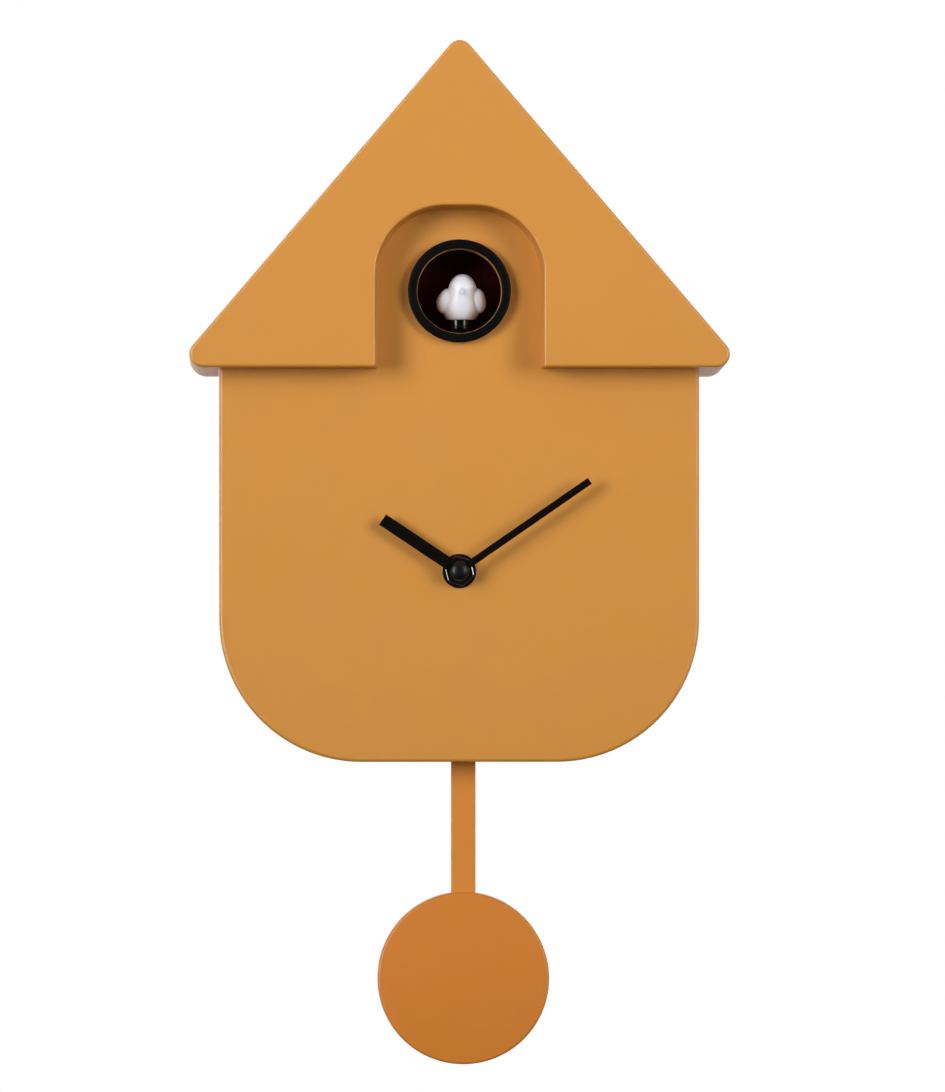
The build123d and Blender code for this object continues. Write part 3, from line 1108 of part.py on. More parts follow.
with BuildPart() as battery_contacts:
    for z in (cell_low_z - CONTACT_T, cell_low_z + CELL_LENGTH + SPRING_ROOM):
        with BuildSketch(Plane.XY.offset(z)):
            with Locations(*[(x, cell_y) for x in cell_xs]):
                Rectangle(11.0, 11.0)
        extrude(amount=CONTACT_T)
finish(battery_contacts.part, "battery_contacts")

with BuildPart() as battery_springs:
    for index, x in enumerate(cell_xs):
        upright = index % 2 == 0
        spring_low = cell_low_z if upright else cell_low_z + CELL_LENGTH
        spring_rise = SPRING_ROOM - 2 * SPRING_WIRE_R
        coil_start = (x, cell_y, spring_low + SPRING_WIRE_R)
        with BuildLine() as coil:
            Helix(spring_rise / SPRING_TURNS, spring_rise, SPRING_R, center=coil_start)
        with BuildSketch(Plane(origin=coil.line @ 0, z_dir=coil.line % 0)) as wire:
            Circle(SPRING_WIRE_R)
        sweep(wire.sketch, path=coil.line, is_frenet=True)
finish(battery_springs.part, "battery_springs")

with BuildPart() as battery_door:
    with BuildSketch(front_plane(0, BATTERY_X, BATTERY_Z)):
        Rectangle(door_width, door_height)
    extrude(amount=DOOR_T)
    top_edges = battery_door.faces().sort_by(Axis.Z)[-1].edges().filter_by(Axis.X)
    fillet(top_edges, DOOR_T / 2 - 0.02)
    pin_half = door_width / 2 + DOOR_PIN_LENGTH
    with BuildSketch(side_plane(BATTERY_X - pin_half, -DOOR_T / 2, door_hinge_z)):
        Circle(DOOR_PIN_R)
    extrude(amount=2 * pin_half)
    with BuildSketch(front_plane(0, BATTERY_X, BATTERY_Z - door_height / 2)):
        with Locations((0, 5.0), (0, 7.5), (0, 10.0)):
            SlotOverall(16.0, 1.2)
    extrude(amount=0.5, mode=Mode.SUBTRACT)
finish(battery_door.part, "battery_door")

# ================================================================== sound and controls
speaker_y = COVER_FACE_Y
speaker_axis = Axis((SPEAKER_X, 0, SPEAKER_Z), (0, 1, 0))
speaker_section = Plane(origin=(SPEAKER_X, 0, SPEAKER_Z), x_dir=(1, 0, 0), z_dir=(0, 0, 1))
speaker_back_y = speaker_y - SPEAKER_DEPTH
with BuildPart() as speaker_frame:
    with BuildSketch(speaker_section):
        with BuildLine():
            Polyline(
                (SPEAKER_R - 1.4, speaker_y), (SPEAKER_R, speaker_y), (SPEAKER_R, speaker_y - 1.6),
                (SPEAKER_MAGNET_R + 1.2, speaker_back_y), (0, speaker_back_y), (0, speaker_back_y + 1.0),
                (SPEAKER_MAGNET_R + 0.6, speaker_back_y + 1.0), (SPEAKER_R - 1.4, speaker_y - 1.9),
                close=True,
            )
        make_face()
    revolve(axis=speaker_axis)
finish(speaker_frame.part, "speaker_frame")

with BuildPart() as speaker_cone:
    cone_r = SPEAKER_R - 1.6
    with BuildSketch(speaker_section):
        with BuildLine():
            Polyline(
                (0, speaker_back_y + 3.6), (cone_r / 4, speaker_back_y + 3.0),
                (cone_r - 1.5, speaker_y - 1.5),
                (cone_r, speaker_y - 1.2), (cone_r, speaker_y - 0.8), (cone_r - 1.5, speaker_y - 1.0),
                (cone_r / 4, speaker_back_y + 3.5), (0, speaker_back_y + 4.2), close=True,
            )
        make_face()
    revolve(axis=speaker_axis)
finish(speaker_cone.part, "speaker_cone")

with BuildPart() as speaker_magnet:
    discs([(SPEAKER_X, SPEAKER_Z)], SPEAKER_MAGNET_R, speaker_back_y, SPEAKER_MAGNET_T)
finish(speaker_magnet.part, "speaker_magnet")

board_face_y = board_back_y - BOARD_T
with BuildPart() as sound_board:
    with BuildSketch(front_plane(board_back_y, BOARD_X, BOARD_Z)):
        Rectangle(BOARD_WIDTH, BOARD_HEIGHT)
    extrude(amount=BOARD_T)
    discs(board_spots, SCREW_SHANK_R + SCREW_PLAY, board_back_y, BOARD_T, Mode.SUBTRACT)
finish(sound_board.part, "sound_board")

with BuildPart() as board_screws:
    screws(board_spots, board_face_y, BOARD_T + BOARD_STANDOFF, out=-1)
finish(board_screws.part, "board_screws")

# The board carries a sound chip, two small cans, a crystal and three wire sockets.
socket_t = 4.0
socket_y = board_face_y - socket_t / 2
socket_half_height = 2.5
upper_socket_z = BOARD_Z + BOARD_HEIGHT / 2 - 6.0
lower_socket_z = BOARD_Z - BOARD_HEIGHT / 2 + 6.0
with BuildPart() as sound_chips:
    with BuildSketch(front_plane(board_face_y, BOARD_X, BOARD_Z)):
        Rectangle(12.0, 8.0)
        with Locations((13.0, -1.0)):
            Rectangle(4.0, 9.0)
    extrude(amount=1.8)
    discs([(BOARD_X - 12, BOARD_Z + 5), (BOARD_X - 12, BOARD_Z - 5)], 2.5, board_face_y, 6.0)
    with BuildSketch(front_plane(board_face_y)):
        with Locations(
            (BOARD_X + 6, upper_socket_z), (BOARD_X - 6, upper_socket_z), (BOARD_X + 6, lower_socket_z),
        ):
            Rectangle(8.0, 2 * socket_half_height)
    extrude(amount=socket_t)
finish(sound_chips.part, "sound_chips")

switch_body_length = switch_slot + 3.0
with BuildPart() as switch_body:
    body_t = BOARD_STANDOFF - 1.6
    with BuildSketch(front_plane(board_back_y + body_t, SWITCH_X + SWITCH_TRAVEL / 2, SWITCH_Z)):
        Rectangle(switch_body_length, switch_height + 3.0)
    extrude(amount=body_t)
    with BuildSketch(front_plane(board_back_y + body_t, SWITCH_X + SWITCH_TRAVEL / 2, SWITCH_Z)):
        Rectangle(switch_slot, switch_height + 2 * SWITCH_PLAY)
    extrude(amount=body_t - 1.0, mode=Mode.SUBTRACT)
finish(switch_body.part, "switch_body")

with BuildPart() as mode_switch:
    stem_y = -0.6
    stem_length = stem_y - board_back_y - 1.0 - SWITCH_PLAY
    with BuildSketch(front_plane(stem_y, SWITCH_X, SWITCH_Z)):
        Rectangle(SWITCH_STEM, switch_height)
    extrude(amount=stem_length)
finish(mode_switch.part, "mode_switch")

floor_z = BODY_BOTTOM_Z - SENSOR_Y * DRAFT_TAN
with BuildPart() as light_sensor:
    with BuildSketch(Plane.XY.offset(floor_z + 0.3)):
        with Locations((SENSOR_X, SENSOR_Y)):
            Circle(SENSOR_R)
    extrude(amount=7.0)
    with BuildSketch(Plane.XY.offset(floor_z + WALL + 0.1)):
        with Locations((SENSOR_X, SENSOR_Y)):
            Circle(SENSOR_R + 1.3)
    extrude(amount=1.4)
finish(light_sensor.part, "light_sensor")

# ================================================================== leads
# Each lead is a twisted pair drawn as one tube: straight runs joined by arcs that are as
# large as the shorter of their two runs allows.
BATTERY_LEAD = [
    (BATTERY_X - 14, -16, BATTERY_Z + box_inner_height / 2 + BOX_WALL), (BATTERY_X - 14, -16, -110.5),
    (29, -18, -103), (10, -20, -101.5), (-12, -19, -103), (-31, -16, -105), (-48, -13, -106),
    (BOARD_X + 6, socket_y, -113), (BOARD_X + 6, socket_y, upper_socket_z + socket_half_height),
]
MOTOR_LEAD = [
    (motor_x + MOTOR_LENGTH, GEAR_Y, motor_z), (motor_x + MOTOR_LENGTH + 9.5, GEAR_Y, motor_z),
    (42, -27, -96), (30, -27, -105.5), (10, -26.5, -107.5), (-14, -24, -106), (-38, -19, -103.5),
    (-58, -14.5, -103), (BOARD_X - 6, socket_y, -111),
    (BOARD_X - 6, socket_y, upper_socket_z + socket_half_height),
]
magnet_mid_y = speaker_back_y - SPEAKER_MAGNET_T / 2
SPEAKER_LEAD = [
    (SPEAKER_X, magnet_mid_y, SPEAKER_Z + SPEAKER_MAGNET_R), (SPEAKER_X, magnet_mid_y, -177),
    (BOARD_X + 6, socket_y, -166.5), (BOARD_X + 6, socket_y, lower_socket_z - socket_half_height),
]


def lead(points):
    """A tube along the points, its bends as wide as the runs allow."""
    bends = []
    for start, corner, end in zip(points, points[1:], points[2:]):
        run_in = Vector(*corner) - Vector(*start)
        run_out = Vector(*end) - Vector(*corner)
        half_turn = radians(run_in.get_angle(run_out)) / 2
        bends.append(0.45 * min(run_in.length, run_out.length) / tan(half_turn))
    with BuildLine() as route:
        FilletPolyline(*points, radius=bends)
    with BuildSketch(Plane(origin=route.line @ 0, z_dir=route.line % 0)) as section:
        Circle(LEAD_R)
    sweep(section.sketch, path=route.line)
    length = sum(edge.length for edge in route.edges())
    print("lead", round(length, 1), "mm, bends", [round(bend, 1) for bend in bends])


with BuildPart() as battery_leads:
    lead(BATTERY_LEAD)
finish(battery_leads.part, "battery_leads")

with BuildPart() as motor_leads:
    lead(MOTOR_LEAD)
finish(motor_leads.part, "motor_leads")

with BuildPart() as speaker_leads:
    lead(SPEAKER_LEAD)
finish(speaker_leads.part, "speaker_leads")

print(len(finished), "sub-parts")
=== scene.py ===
# %% [markdown]
# # A house-shaped cuckoo clock
# The clock is a moulded plastic house: a gable roof stands proud of a rounded body, a small bird
# sits behind a round porthole, and a flat pendulum hangs below. The construction comes from a
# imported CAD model, already at its real size. This file dresses it: each step builds one visible
# piece as a surface computed with numpy, or mixes one finish out of shader nodes.

import json

import bmesh
import bpy
import numpy as np
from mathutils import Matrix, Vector


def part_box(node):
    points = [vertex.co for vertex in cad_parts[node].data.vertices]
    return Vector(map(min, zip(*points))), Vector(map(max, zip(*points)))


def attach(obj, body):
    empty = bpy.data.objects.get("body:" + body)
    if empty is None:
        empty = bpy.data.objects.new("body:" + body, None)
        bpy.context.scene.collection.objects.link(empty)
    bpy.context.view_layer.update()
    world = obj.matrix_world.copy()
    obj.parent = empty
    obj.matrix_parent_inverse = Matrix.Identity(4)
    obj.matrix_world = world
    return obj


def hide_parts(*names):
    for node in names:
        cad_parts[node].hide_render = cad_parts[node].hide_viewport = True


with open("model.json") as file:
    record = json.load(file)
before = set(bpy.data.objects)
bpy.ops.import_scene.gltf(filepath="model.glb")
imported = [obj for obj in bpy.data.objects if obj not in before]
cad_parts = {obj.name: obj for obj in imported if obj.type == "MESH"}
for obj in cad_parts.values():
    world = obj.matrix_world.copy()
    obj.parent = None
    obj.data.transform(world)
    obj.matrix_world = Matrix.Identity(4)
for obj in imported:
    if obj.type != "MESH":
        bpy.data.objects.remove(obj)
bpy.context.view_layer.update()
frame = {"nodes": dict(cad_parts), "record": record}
MM = 0.001                       # every piece is worked out in mm


def box_mm(node):
    """A node's lowest and highest corners at rest, in mm."""
    low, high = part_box(node)
    return np.array(low) / MM, np.array(high) / MM


# %% [markdown]
# ## The camera
# The clock is seen square on, from nearly three metres, with a long lens, so that it keeps its
# proportions. The camera stands a little to the left and turns back by less than a degree, which
# is why the right end of the soffit shows as well as the left.

# %% The camera
CAMERA_PLACE = (-0.035, -2.68, -0.155)
LENS = 219.5            # mm, on a sensor 36 mm high
CAMERA_YAW = 0.88       # degrees to the right

camera_data = bpy.data.cameras.new("camera")
camera_data.lens = LENS
camera_data.sensor_width = 36.0
camera_data.clip_end = 50.0
camera = bpy.data.objects.new("camera", camera_data)
camera.location = CAMERA_PLACE
camera.rotation_euler = (np.pi / 2, 0.0, -np.radians(CAMERA_YAW))
bpy.context.scene.collection.objects.link(camera)
bpy.context.scene.camera = camera

# %% [markdown]
# ## Points and faces
# Every piece below is a grid of points: rows run along a profile, columns run round it. Four
# neighbours make a quad, and where the grid closes, its last row or column joins the first.

# %% The quads of a grid
def grid_faces(rows, columns, wrap_rows=False, wrap_columns=True):
    """Quads between neighbours of a grid: point (i, j) has the number i * columns + j."""
    i, j = np.meshgrid(np.arange(rows if wrap_rows else rows - 1),
                       np.arange(columns if wrap_columns else columns - 1), indexing="ij")
    below, beside = (i + 1) % rows, (j + 1) % columns
    return np.stack([i * columns + j, i * columns + beside,
                     below * columns + beside, below * columns + j], -1).reshape(-1, 4).tolist()


# %% [markdown]
# ## From a grid to a piece
# Points and faces become an object that rides on one body of the model. Where a grid comes to a
# point, as on an axis, many of its points fall on the same place, so the doubles are merged before
# the faces are turned to look outwards.

# %% From a grid to a piece
MERGE_REACH = 2e-7               # metres: points nearer than this become one


def make_piece(name, shells, body, material, replaced=(), crease=40.0):
    """Joins shells, each (points in mm, faces), into one object that rides on a body."""
    starts = np.cumsum([0] + [len(points) for points, _ in shells])
    points = np.concatenate([points for points, _ in shells]) * MM
    faces = [[int(k) + int(start) for k in face]
             for (_, shell), start in zip(shells, starts) for face in shell]
    mesh = bpy.data.meshes.new(name)
    mesh.from_pydata(points.tolist(), [], faces)
    work = bmesh.new()
    work.from_mesh(mesh)
    bmesh.ops.remove_doubles(work, verts=work.verts, dist=MERGE_REACH)
    bmesh.ops.recalc_face_normals(work, faces=work.faces)
    work.to_mesh(mesh)
    work.free()
    mesh.polygons.foreach_set("use_smooth", np.ones(len(mesh.polygons), bool))
    mesh.set_sharp_from_angle(angle=np.radians(crease))
    mesh.materials.append(material)
    piece = bpy.data.objects.new(name, mesh)
    bpy.context.scene.collection.objects.link(piece)
    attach(piece, body)
    if replaced:
        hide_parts(*replaced)
    print(f"{name}: {len(mesh.vertices)} points, {len(mesh.polygons)} faces")
    return piece


# %% [markdown]
# ## Round corners and turned parts
# Moulded edges are never sharp. A polygon gets its roundings as arcs: each corner moves back along
# both its edges by the radius over the tangent of half its angle. A turned part is such a profile
# carried round an axis.

# %% Rounded profiles and lathe surfaces
def round_corners(corners, radii, steps=7):
    """The polygon with an arc of the given radius at each corner; a radius of 0 keeps it sharp."""
    p = np.asarray(corners, float)
    r = np.broadcast_to(np.asarray(radii, float), len(p))
    back, ahead = np.roll(p, 1, 0) - p, np.roll(p, -1, 0) - p
    back /= np.linalg.norm(back, axis=1, keepdims=True)
    ahead /= np.linalg.norm(ahead, axis=1, keepdims=True)
    half = np.arccos(np.clip((back * ahead).sum(1), -1, 1)) / 2
    inward = back + ahead
    inward /= np.maximum(np.linalg.norm(inward, axis=1, keepdims=True), 1e-9)
    centre = p + inward * (r / np.sin(half))[:, None]
    reach = (r / np.tan(half))[:, None]
    start, end = p + back * reach - centre, p + ahead * reach - centre
    first = np.arctan2(start[:, 1], start[:, 0])
    sweep = (np.arctan2(end[:, 1], end[:, 0]) - first + np.pi) % (2 * np.pi) - np.pi
    angle = first[:, None] + sweep[:, None] * np.linspace(0, 1, steps)
    arc = np.stack([np.cos(angle), np.sin(angle)], -1) * r[:, None, None]
    return (centre[:, None] + arc).reshape(-1, 2)


def turned(profile, centre, axis="y", turns=128, closed=False):
    """A lathe surface. The profile holds (radius, place along the axis) pairs, and a point is the
    centre plus the radius in the direction of the angle plus the place along the axis."""
    radius, along = np.asarray(profile, float).T
    angle = np.linspace(0, 2 * np.pi, turns, endpoint=False)
    c, s = radius[:, None] * np.cos(angle), radius[:, None] * np.sin(angle)
    place = np.broadcast_to(along[:, None], c.shape)
    offsets = (c, place, s) if axis == "y" else (c, s, place)
    points = np.stack(offsets, -1).reshape(-1, 3) + np.asarray(centre, float)
    return points, grid_faces(len(radius), turns, wrap_rows=closed)


# %% [markdown]
# ## The studio
# A clock like this is lit by two large soft boxes, left and right and a little above, with a third
# one overhead. A small card low on the left gives no diffuse light. It is there for its reflection,
# a glint in the glossy nut.

# %% Lights
def softbox(name, place, aim, width, height, watts, spread):
    """A rectangular soft light at place, turned to face aim; a grid narrows it to spread
    degrees."""
    data = bpy.data.lights.new(name, "AREA")
    data.shape = "RECTANGLE"
    data.size = width
    data.size_y = height
    data.energy = watts
    data.spread = np.radians(spread)
    lamp = bpy.data.objects.new(name, data)
    lamp.location = place
    lamp.rotation_euler = (Vector(aim) - Vector(place)).to_track_quat("-Z", "Y").to_euler()
    lamp.visible_camera = False
    bpy.context.scene.collection.objects.link(lamp)
    return lamp


ROOF, NUT = (0.0, -0.08, 0.12), (0.0, -0.07, -0.165)
LAMPS = [  # name, place, aim, width, height, watts, spread; all lengths in metres
    ("left_softbox", (-1.30, -1.45, 0.38), ROOF, 0.8, 1.45, 4.36, 52),
    ("right_softbox", (1.30, -1.45, 0.38), ROOF, 0.8, 1.45, 3.25, 52),
    ("top_softbox", (0.0, -0.85, 1.15), ROOF, 1.2, 0.5, 0.4, 90),
    ("left_card", (-1.30, -1.45, -0.53), NUT, 0.35, 0.30, 0.34, 52),
]
lamps = {row[0]: softbox(*row) for row in LAMPS}
lamps["left_card"].visible_diffuse = False
print("lamps:", ", ".join(lamps))

# %% [markdown]
# ## The room
# The room behind the clock is bright and the room in front is dim, so thin edges glow while the
# black hands stay black. A ramp over the direction looked in does that. Only the camera sees the
# room as pure white.

# %% The room
DIM, BRIGHT = 0.02, 1.1                  # strength in front of the clock, and behind it
FADE_START, FADE_END = -0.30, 0.35       # the ramp runs between these, in the direction's Y

world = bpy.data.worlds.new("studio")
world.use_nodes = True
bpy.context.scene.world = world
tree = world.node_tree
tree.nodes.clear()
where = tree.nodes.new("ShaderNodeTexCoord")
split = tree.nodes.new("ShaderNodeSeparateXYZ")
ramp = tree.nodes.new("ShaderNodeMapRange")
ramp.inputs["From Min"].default_value = FADE_START
ramp.inputs["From Max"].default_value = FADE_END
ramp.inputs["To Min"].default_value = DIM
ramp.inputs["To Max"].default_value = BRIGHT
path = tree.nodes.new("ShaderNodeLightPath")
pick = tree.nodes.new("ShaderNodeMix")
sky = tree.nodes.new("ShaderNodeBackground")
sky.inputs["Color"].default_value = (1.0, 1.0, 1.0, 1.0)
out = tree.nodes.new("ShaderNodeOutputWorld")
tree.links.new(where.outputs["Generated"], split.inputs[0])
tree.links.new(split.outputs["Y"], ramp.inputs["Value"])
tree.links.new(path.outputs["Is Camera Ray"], pick.inputs[0])
tree.links.new(ramp.outputs["Result"], pick.inputs[2])
pick.inputs[3].default_value = 1.0
tree.links.new(pick.outputs[0], sky.inputs["Strength"])
tree.links.new(sky.outputs[0], out.inputs[0])
bpy.context.scene.view_settings.view_transform = "Standard"

# %% [markdown]
# ## Finishes
# No moulded surface is one flat colour. Each finish starts from one Principled shader whose steady
# values sit on its own sockets. Two helpers then add what a close look shows: clouding, a slow
# drift of colour and gloss, and grain, a fine relief left by the mould. Both read Object
# coordinates, which are metres, so their scales are real sizes.

# %% Helpers for finishes
def shader_of(material):
    """The one Principled shader of a material."""
    return material.node_tree.nodes["Principled BSDF"]


def finish(name, colour, roughness, specular=0.5, metallic=0.0):
    """A material with one shader, its steady values set on the shader's own sockets."""
    material = bpy.data.materials.new(name)
    material.use_nodes = True
    shader = shader_of(material)
    shader.inputs["Base Color"].default_value = (*colour, 1.0)
    shader.inputs["Roughness"].default_value = roughness
    shader.inputs["Specular IOR Level"].default_value = specular
    shader.inputs["Metallic"].default_value = metallic
    return material


def place_on(material, stretch=(1.0, 1.0, 1.0)):
    """Object coordinates in metres, stretched along the axes for a brushed or wound look."""
    nodes, links = material.node_tree.nodes, material.node_tree.links
    where = nodes.new("ShaderNodeTexCoord")
    scaled = nodes.new("ShaderNodeMapping")
    scaled.inputs["Scale"].default_value = stretch
    links.new(where.outputs["Object"], scaled.inputs["Vector"])
    return scaled.outputs["Vector"]


def noise_of(material, size, detail=2.0, stretch=(1.0, 1.0, 1.0)):
    """Noise whose features are about size mm across."""
    noise = material.node_tree.nodes.new("ShaderNodeTexNoise")
    noise.inputs["Scale"].default_value = 1.0 / (size * MM)
    noise.inputs["Detail"].default_value = detail
    material.node_tree.links.new(place_on(material, stretch), noise.inputs["Vector"])
    return noise.outputs["Fac"]


# %% [markdown]
# ## Clouding and grain
# Clouding mixes a second colour in by a slow noise, and the same noise moves the roughness a
# little, so that a large face never looks printed. Grain is a finer noise fed to a Bump node. Both
# could be painted by hand, but a noise has no seams and needs no image.

# %% Clouding and grain
NOISE_LOW, NOISE_HIGH = 0.3, 0.7         # most values of the noise lie between these


def cloud(material, colour, size, gloss, stretch=(1.0, 1.0, 1.0)):
    """Lets the colour drift towards a second one, and the roughness by gloss to each side."""
    nodes, links = material.node_tree.nodes, material.node_tree.links
    shader = shader_of(material)
    drift = noise_of(material, size, 3.0, stretch)
    mix = nodes.new("ShaderNodeMix")
    mix.data_type = "RGBA"
    mix.inputs["A"].default_value = shader.inputs["Base Color"].default_value
    mix.inputs["B"].default_value = (*colour, 1.0)
    links.new(drift, mix.inputs["Factor"])
    links.new(mix.outputs["Result"], shader.inputs["Base Color"])
    span = nodes.new("ShaderNodeMapRange")
    middle = shader.inputs["Roughness"].default_value
    span.inputs["From Min"].default_value = NOISE_LOW
    span.inputs["From Max"].default_value = NOISE_HIGH
    span.inputs["To Min"].default_value = middle - gloss
    span.inputs["To Max"].default_value = middle + gloss
    links.new(drift, span.inputs["Value"])
    links.new(span.outputs["Result"], shader.inputs["Roughness"])
    return material


def grain(material, size, height, detail=2.0, stretch=(1.0, 1.0, 1.0)):
    """Raises the surface by noise: features size mm across and height mm tall."""
    nodes, links = material.node_tree.nodes, material.node_tree.links
    bump = nodes.new("ShaderNodeBump")
    bump.inputs["Strength"].default_value = 1.0
    bump.inputs["Distance"].default_value = height * MM
    links.new(noise_of(material, size, detail, stretch), bump.inputs["Height"])
    links.new(bump.outputs["Normal"], shader_of(material).inputs["Normal"])
    return material


def dressed(name, colour, roughness, drift, relief, **more):
    """A finish with clouding, drift = (second colour, size, gloss), and grain, relief = (size,
    height) and what else grain takes; more goes to the finish."""
    return grain(cloud(finish(name, colour, roughness, **more), *drift), *relief)


# %% [markdown]
# ## The plastics
# The shell is a warm orange with a satin skin. The pendulum and its rod wear redder copies of
# that orange, set to the colours that the pendulum shows low down, where less light reaches it:
# painted light and shade. The black parts come in three kinds: satin for the ring and the cap, a
# coarser spark-eroded skin for the rear cover, and a polished one for the nut and the perch. The
# chamber behind the porthole is tinted dark red: painted shade and orange bounce light. The hands
# are painted metal and swallow nearly all light.

# %% Shell and black plastics
shell_orange = dressed("shell_orange", (0.628, 0.262, 0.029), 0.46,
                       ((0.602, 0.244, 0.024), 22, 0.03), (0.75, 0.012), specular=0.8)
# painted light and shade: a redder copy of the shell's orange, set to the bob's look in less light
pendulum_orange_painted_shading = dressed("pendulum_orange_painted_shading", (0.655, 0.211, 0.0155), 0.46,
                          ((0.627, 0.196, 0.0130), 22, 0.03), (0.75, 0.012), specular=0.6)
# painted light and shade: the rod's redder copy of the shell's orange, set to its look under the
# lamps
rod_orange_painted_shading = dressed("rod_orange_painted_shading", (0.675, 0.240, 0.0260), 0.46,
                     ((0.647, 0.224, 0.0220), 22, 0.03), (0.75, 0.012), specular=0.6)
black_satin = dressed("black_satin", (0.0017, 0.0017, 0.0018), 0.44,
                      ((0.0023, 0.0023, 0.0023), 5, 0.03), (0.4, 0.004), specular=0.08)
cover_black = dressed("cover_black", (0.014, 0.014, 0.0145), 0.50,
                      ((0.019, 0.019, 0.0195), 14, 0.05), (0.55, 0.035))
# painted shade and bounce light: black plastic tinted dark red for the orange light reaching inside
chamber_painted_warm_shade = dressed("chamber_painted_warm_shade", (0.070, 0.0040, 0.0034), 0.60,
                       ((0.082, 0.0050, 0.0042), 8, 0.05), (0.5, 0.02), specular=0.15)
cap_black = dressed("cap_black", (0.0020, 0.0020, 0.0022), 0.37,
                    ((0.0026, 0.0026, 0.0028), 3, 0.02), (0.4, 0.004), specular=0.27)
black_gloss = dressed("black_gloss", (0.0040, 0.0036, 0.0036), 0.13,
                      ((0.0050, 0.0044, 0.0042), 4, 0.02), (1.8, 0.003), specular=0.8)
shader_of(black_gloss).inputs["Coat Weight"].default_value = 1.0
shader_of(black_gloss).inputs["Coat Roughness"].default_value = 0.06
perch_black = dressed("perch_black", (0.0026, 0.0024, 0.0024), 0.15,
                      ((0.0034, 0.0030, 0.0030), 4, 0.02), (1.8, 0.003), specular=0.35)
hand_paint = dressed("hand_paint", (0.0026, 0.0018, 0.0014), 0.55,
                     ((0.0036, 0.0028, 0.0022), 6, 0.04), (0.35, 0.004), specular=0.04)

# %% [markdown]
# ## The white bird and the gears
# The bird's white plastic lets a little light in, so its shadows stay soft: a small subsurface
# weight with a reach of about a millimetre does that. The gears are milky acetal.

# %% White plastics
bird_white = dressed("bird_white", (0.755, 0.765, 0.825), 0.36,
                     ((0.730, 0.740, 0.800), 6, 0.03), (0.5, 0.004))
gear_white = dressed("gear_white", (0.78, 0.77, 0.72), 0.38,
                     ((0.73, 0.72, 0.66), 6, 0.04), (0.4, 0.006))
for milky, weight in ((bird_white, 0.12), (gear_white, 0.15)):
    skin = shader_of(milky)
    skin.inputs["Subsurface Weight"].default_value = weight
    skin.inputs["Subsurface Radius"].default_value = (1.0, 0.8, 0.7)
    skin.inputs["Subsurface Scale"].default_value = 1.0 * MM

# %% [markdown]
# ## Metal, wire and magnets
# Zinc-plated steel is bright with a faint brushed streak, which is noise squeezed along one axis.
# A coil's turns are bands across its surface, and a ferrite magnet is a dull dark grey.

# %% Metals
zinc_steel = dressed("zinc_steel", (0.56, 0.58, 0.61), 0.34,
                     ((0.48, 0.50, 0.54), 5, 0.06), (0.9, 0.004, 3.0, (1.0, 1.0, 9.0)),
                     metallic=1.0)
spring_steel = dressed("spring_steel", (0.62, 0.62, 0.63), 0.24,
                       ((0.52, 0.53, 0.55), 2, 0.05), (0.5, 0.003), metallic=1.0)
magnet_grey = dressed("magnet_grey", (0.045, 0.045, 0.048), 0.55,
                      ((0.032, 0.032, 0.034), 3, 0.06), (0.3, 0.012))
copper = dressed("copper", (0.62, 0.24, 0.11), 0.30,
                 ((0.50, 0.17, 0.07), 2, 0.05), (0.6, 0.004), metallic=1.0)
WIRE_PITCH, WIRE_RELIEF = 1.4, 0.05      # mm
nodes, links = copper.node_tree.nodes, copper.node_tree.links
turns_of_wire = nodes.new("ShaderNodeTexWave")
turns_of_wire.bands_direction = "Y"
turns_of_wire.inputs["Scale"].default_value = 1.0 / (WIRE_PITCH * MM)
links.new(place_on(copper), turns_of_wire.inputs["Vector"])
wire_relief = nodes.new("ShaderNodeBump")
wire_relief.inputs["Distance"].default_value = WIRE_RELIEF * MM
links.new(turns_of_wire.outputs["Fac"], wire_relief.inputs["Height"])
links.new(wire_relief.outputs["Normal"], shader_of(copper).inputs["Normal"])

# %% [markdown]
# ## What the rear door and the case hide
# Boards, chips, leads and the loudspeaker get honest finishes too. The board's green mask shows
# fainter tracks, which are bands of a wave.

# %% Electric parts
board_green = dressed("board_green", (0.012, 0.085, 0.030), 0.30,
                      ((0.010, 0.060, 0.024), 4, 0.04), (0.5, 0.006))
TRACK_PITCH, TRACK_WANDER, WANDER_SIZE = 9.0, 6.0, 1.5       # pitch in mm
TRACK_EDGE = (0.78, 0.86)                # a track starts and is full at these heights of the wave
nodes, links = board_green.node_tree.nodes, board_green.node_tree.links
tracks = nodes.new("ShaderNodeTexWave")
tracks.bands_direction = "DIAGONAL"
tracks.inputs["Scale"].default_value = 1.0 / (TRACK_PITCH * MM)
tracks.inputs["Distortion"].default_value = TRACK_WANDER
tracks.inputs["Detail Scale"].default_value = WANDER_SIZE
links.new(place_on(board_green), tracks.inputs["Vector"])
track_edge = nodes.new("ShaderNodeMapRange")
track_edge.inputs["From Min"].default_value = TRACK_EDGE[0]
track_edge.inputs["From Max"].default_value = TRACK_EDGE[1]
links.new(tracks.outputs["Fac"], track_edge.inputs["Value"])
mask = next(link.from_node for link in links if link.to_socket.name == "Base Color")
with_tracks = nodes.new("ShaderNodeMix")
with_tracks.data_type = "RGBA"
with_tracks.inputs["B"].default_value = (0.030, 0.150, 0.050, 1.0)
links.new(mask.outputs["Result"], with_tracks.inputs["A"])
links.new(track_edge.outputs["Result"], with_tracks.inputs["Factor"])
links.new(with_tracks.outputs["Result"], shader_of(board_green).inputs["Base Color"])

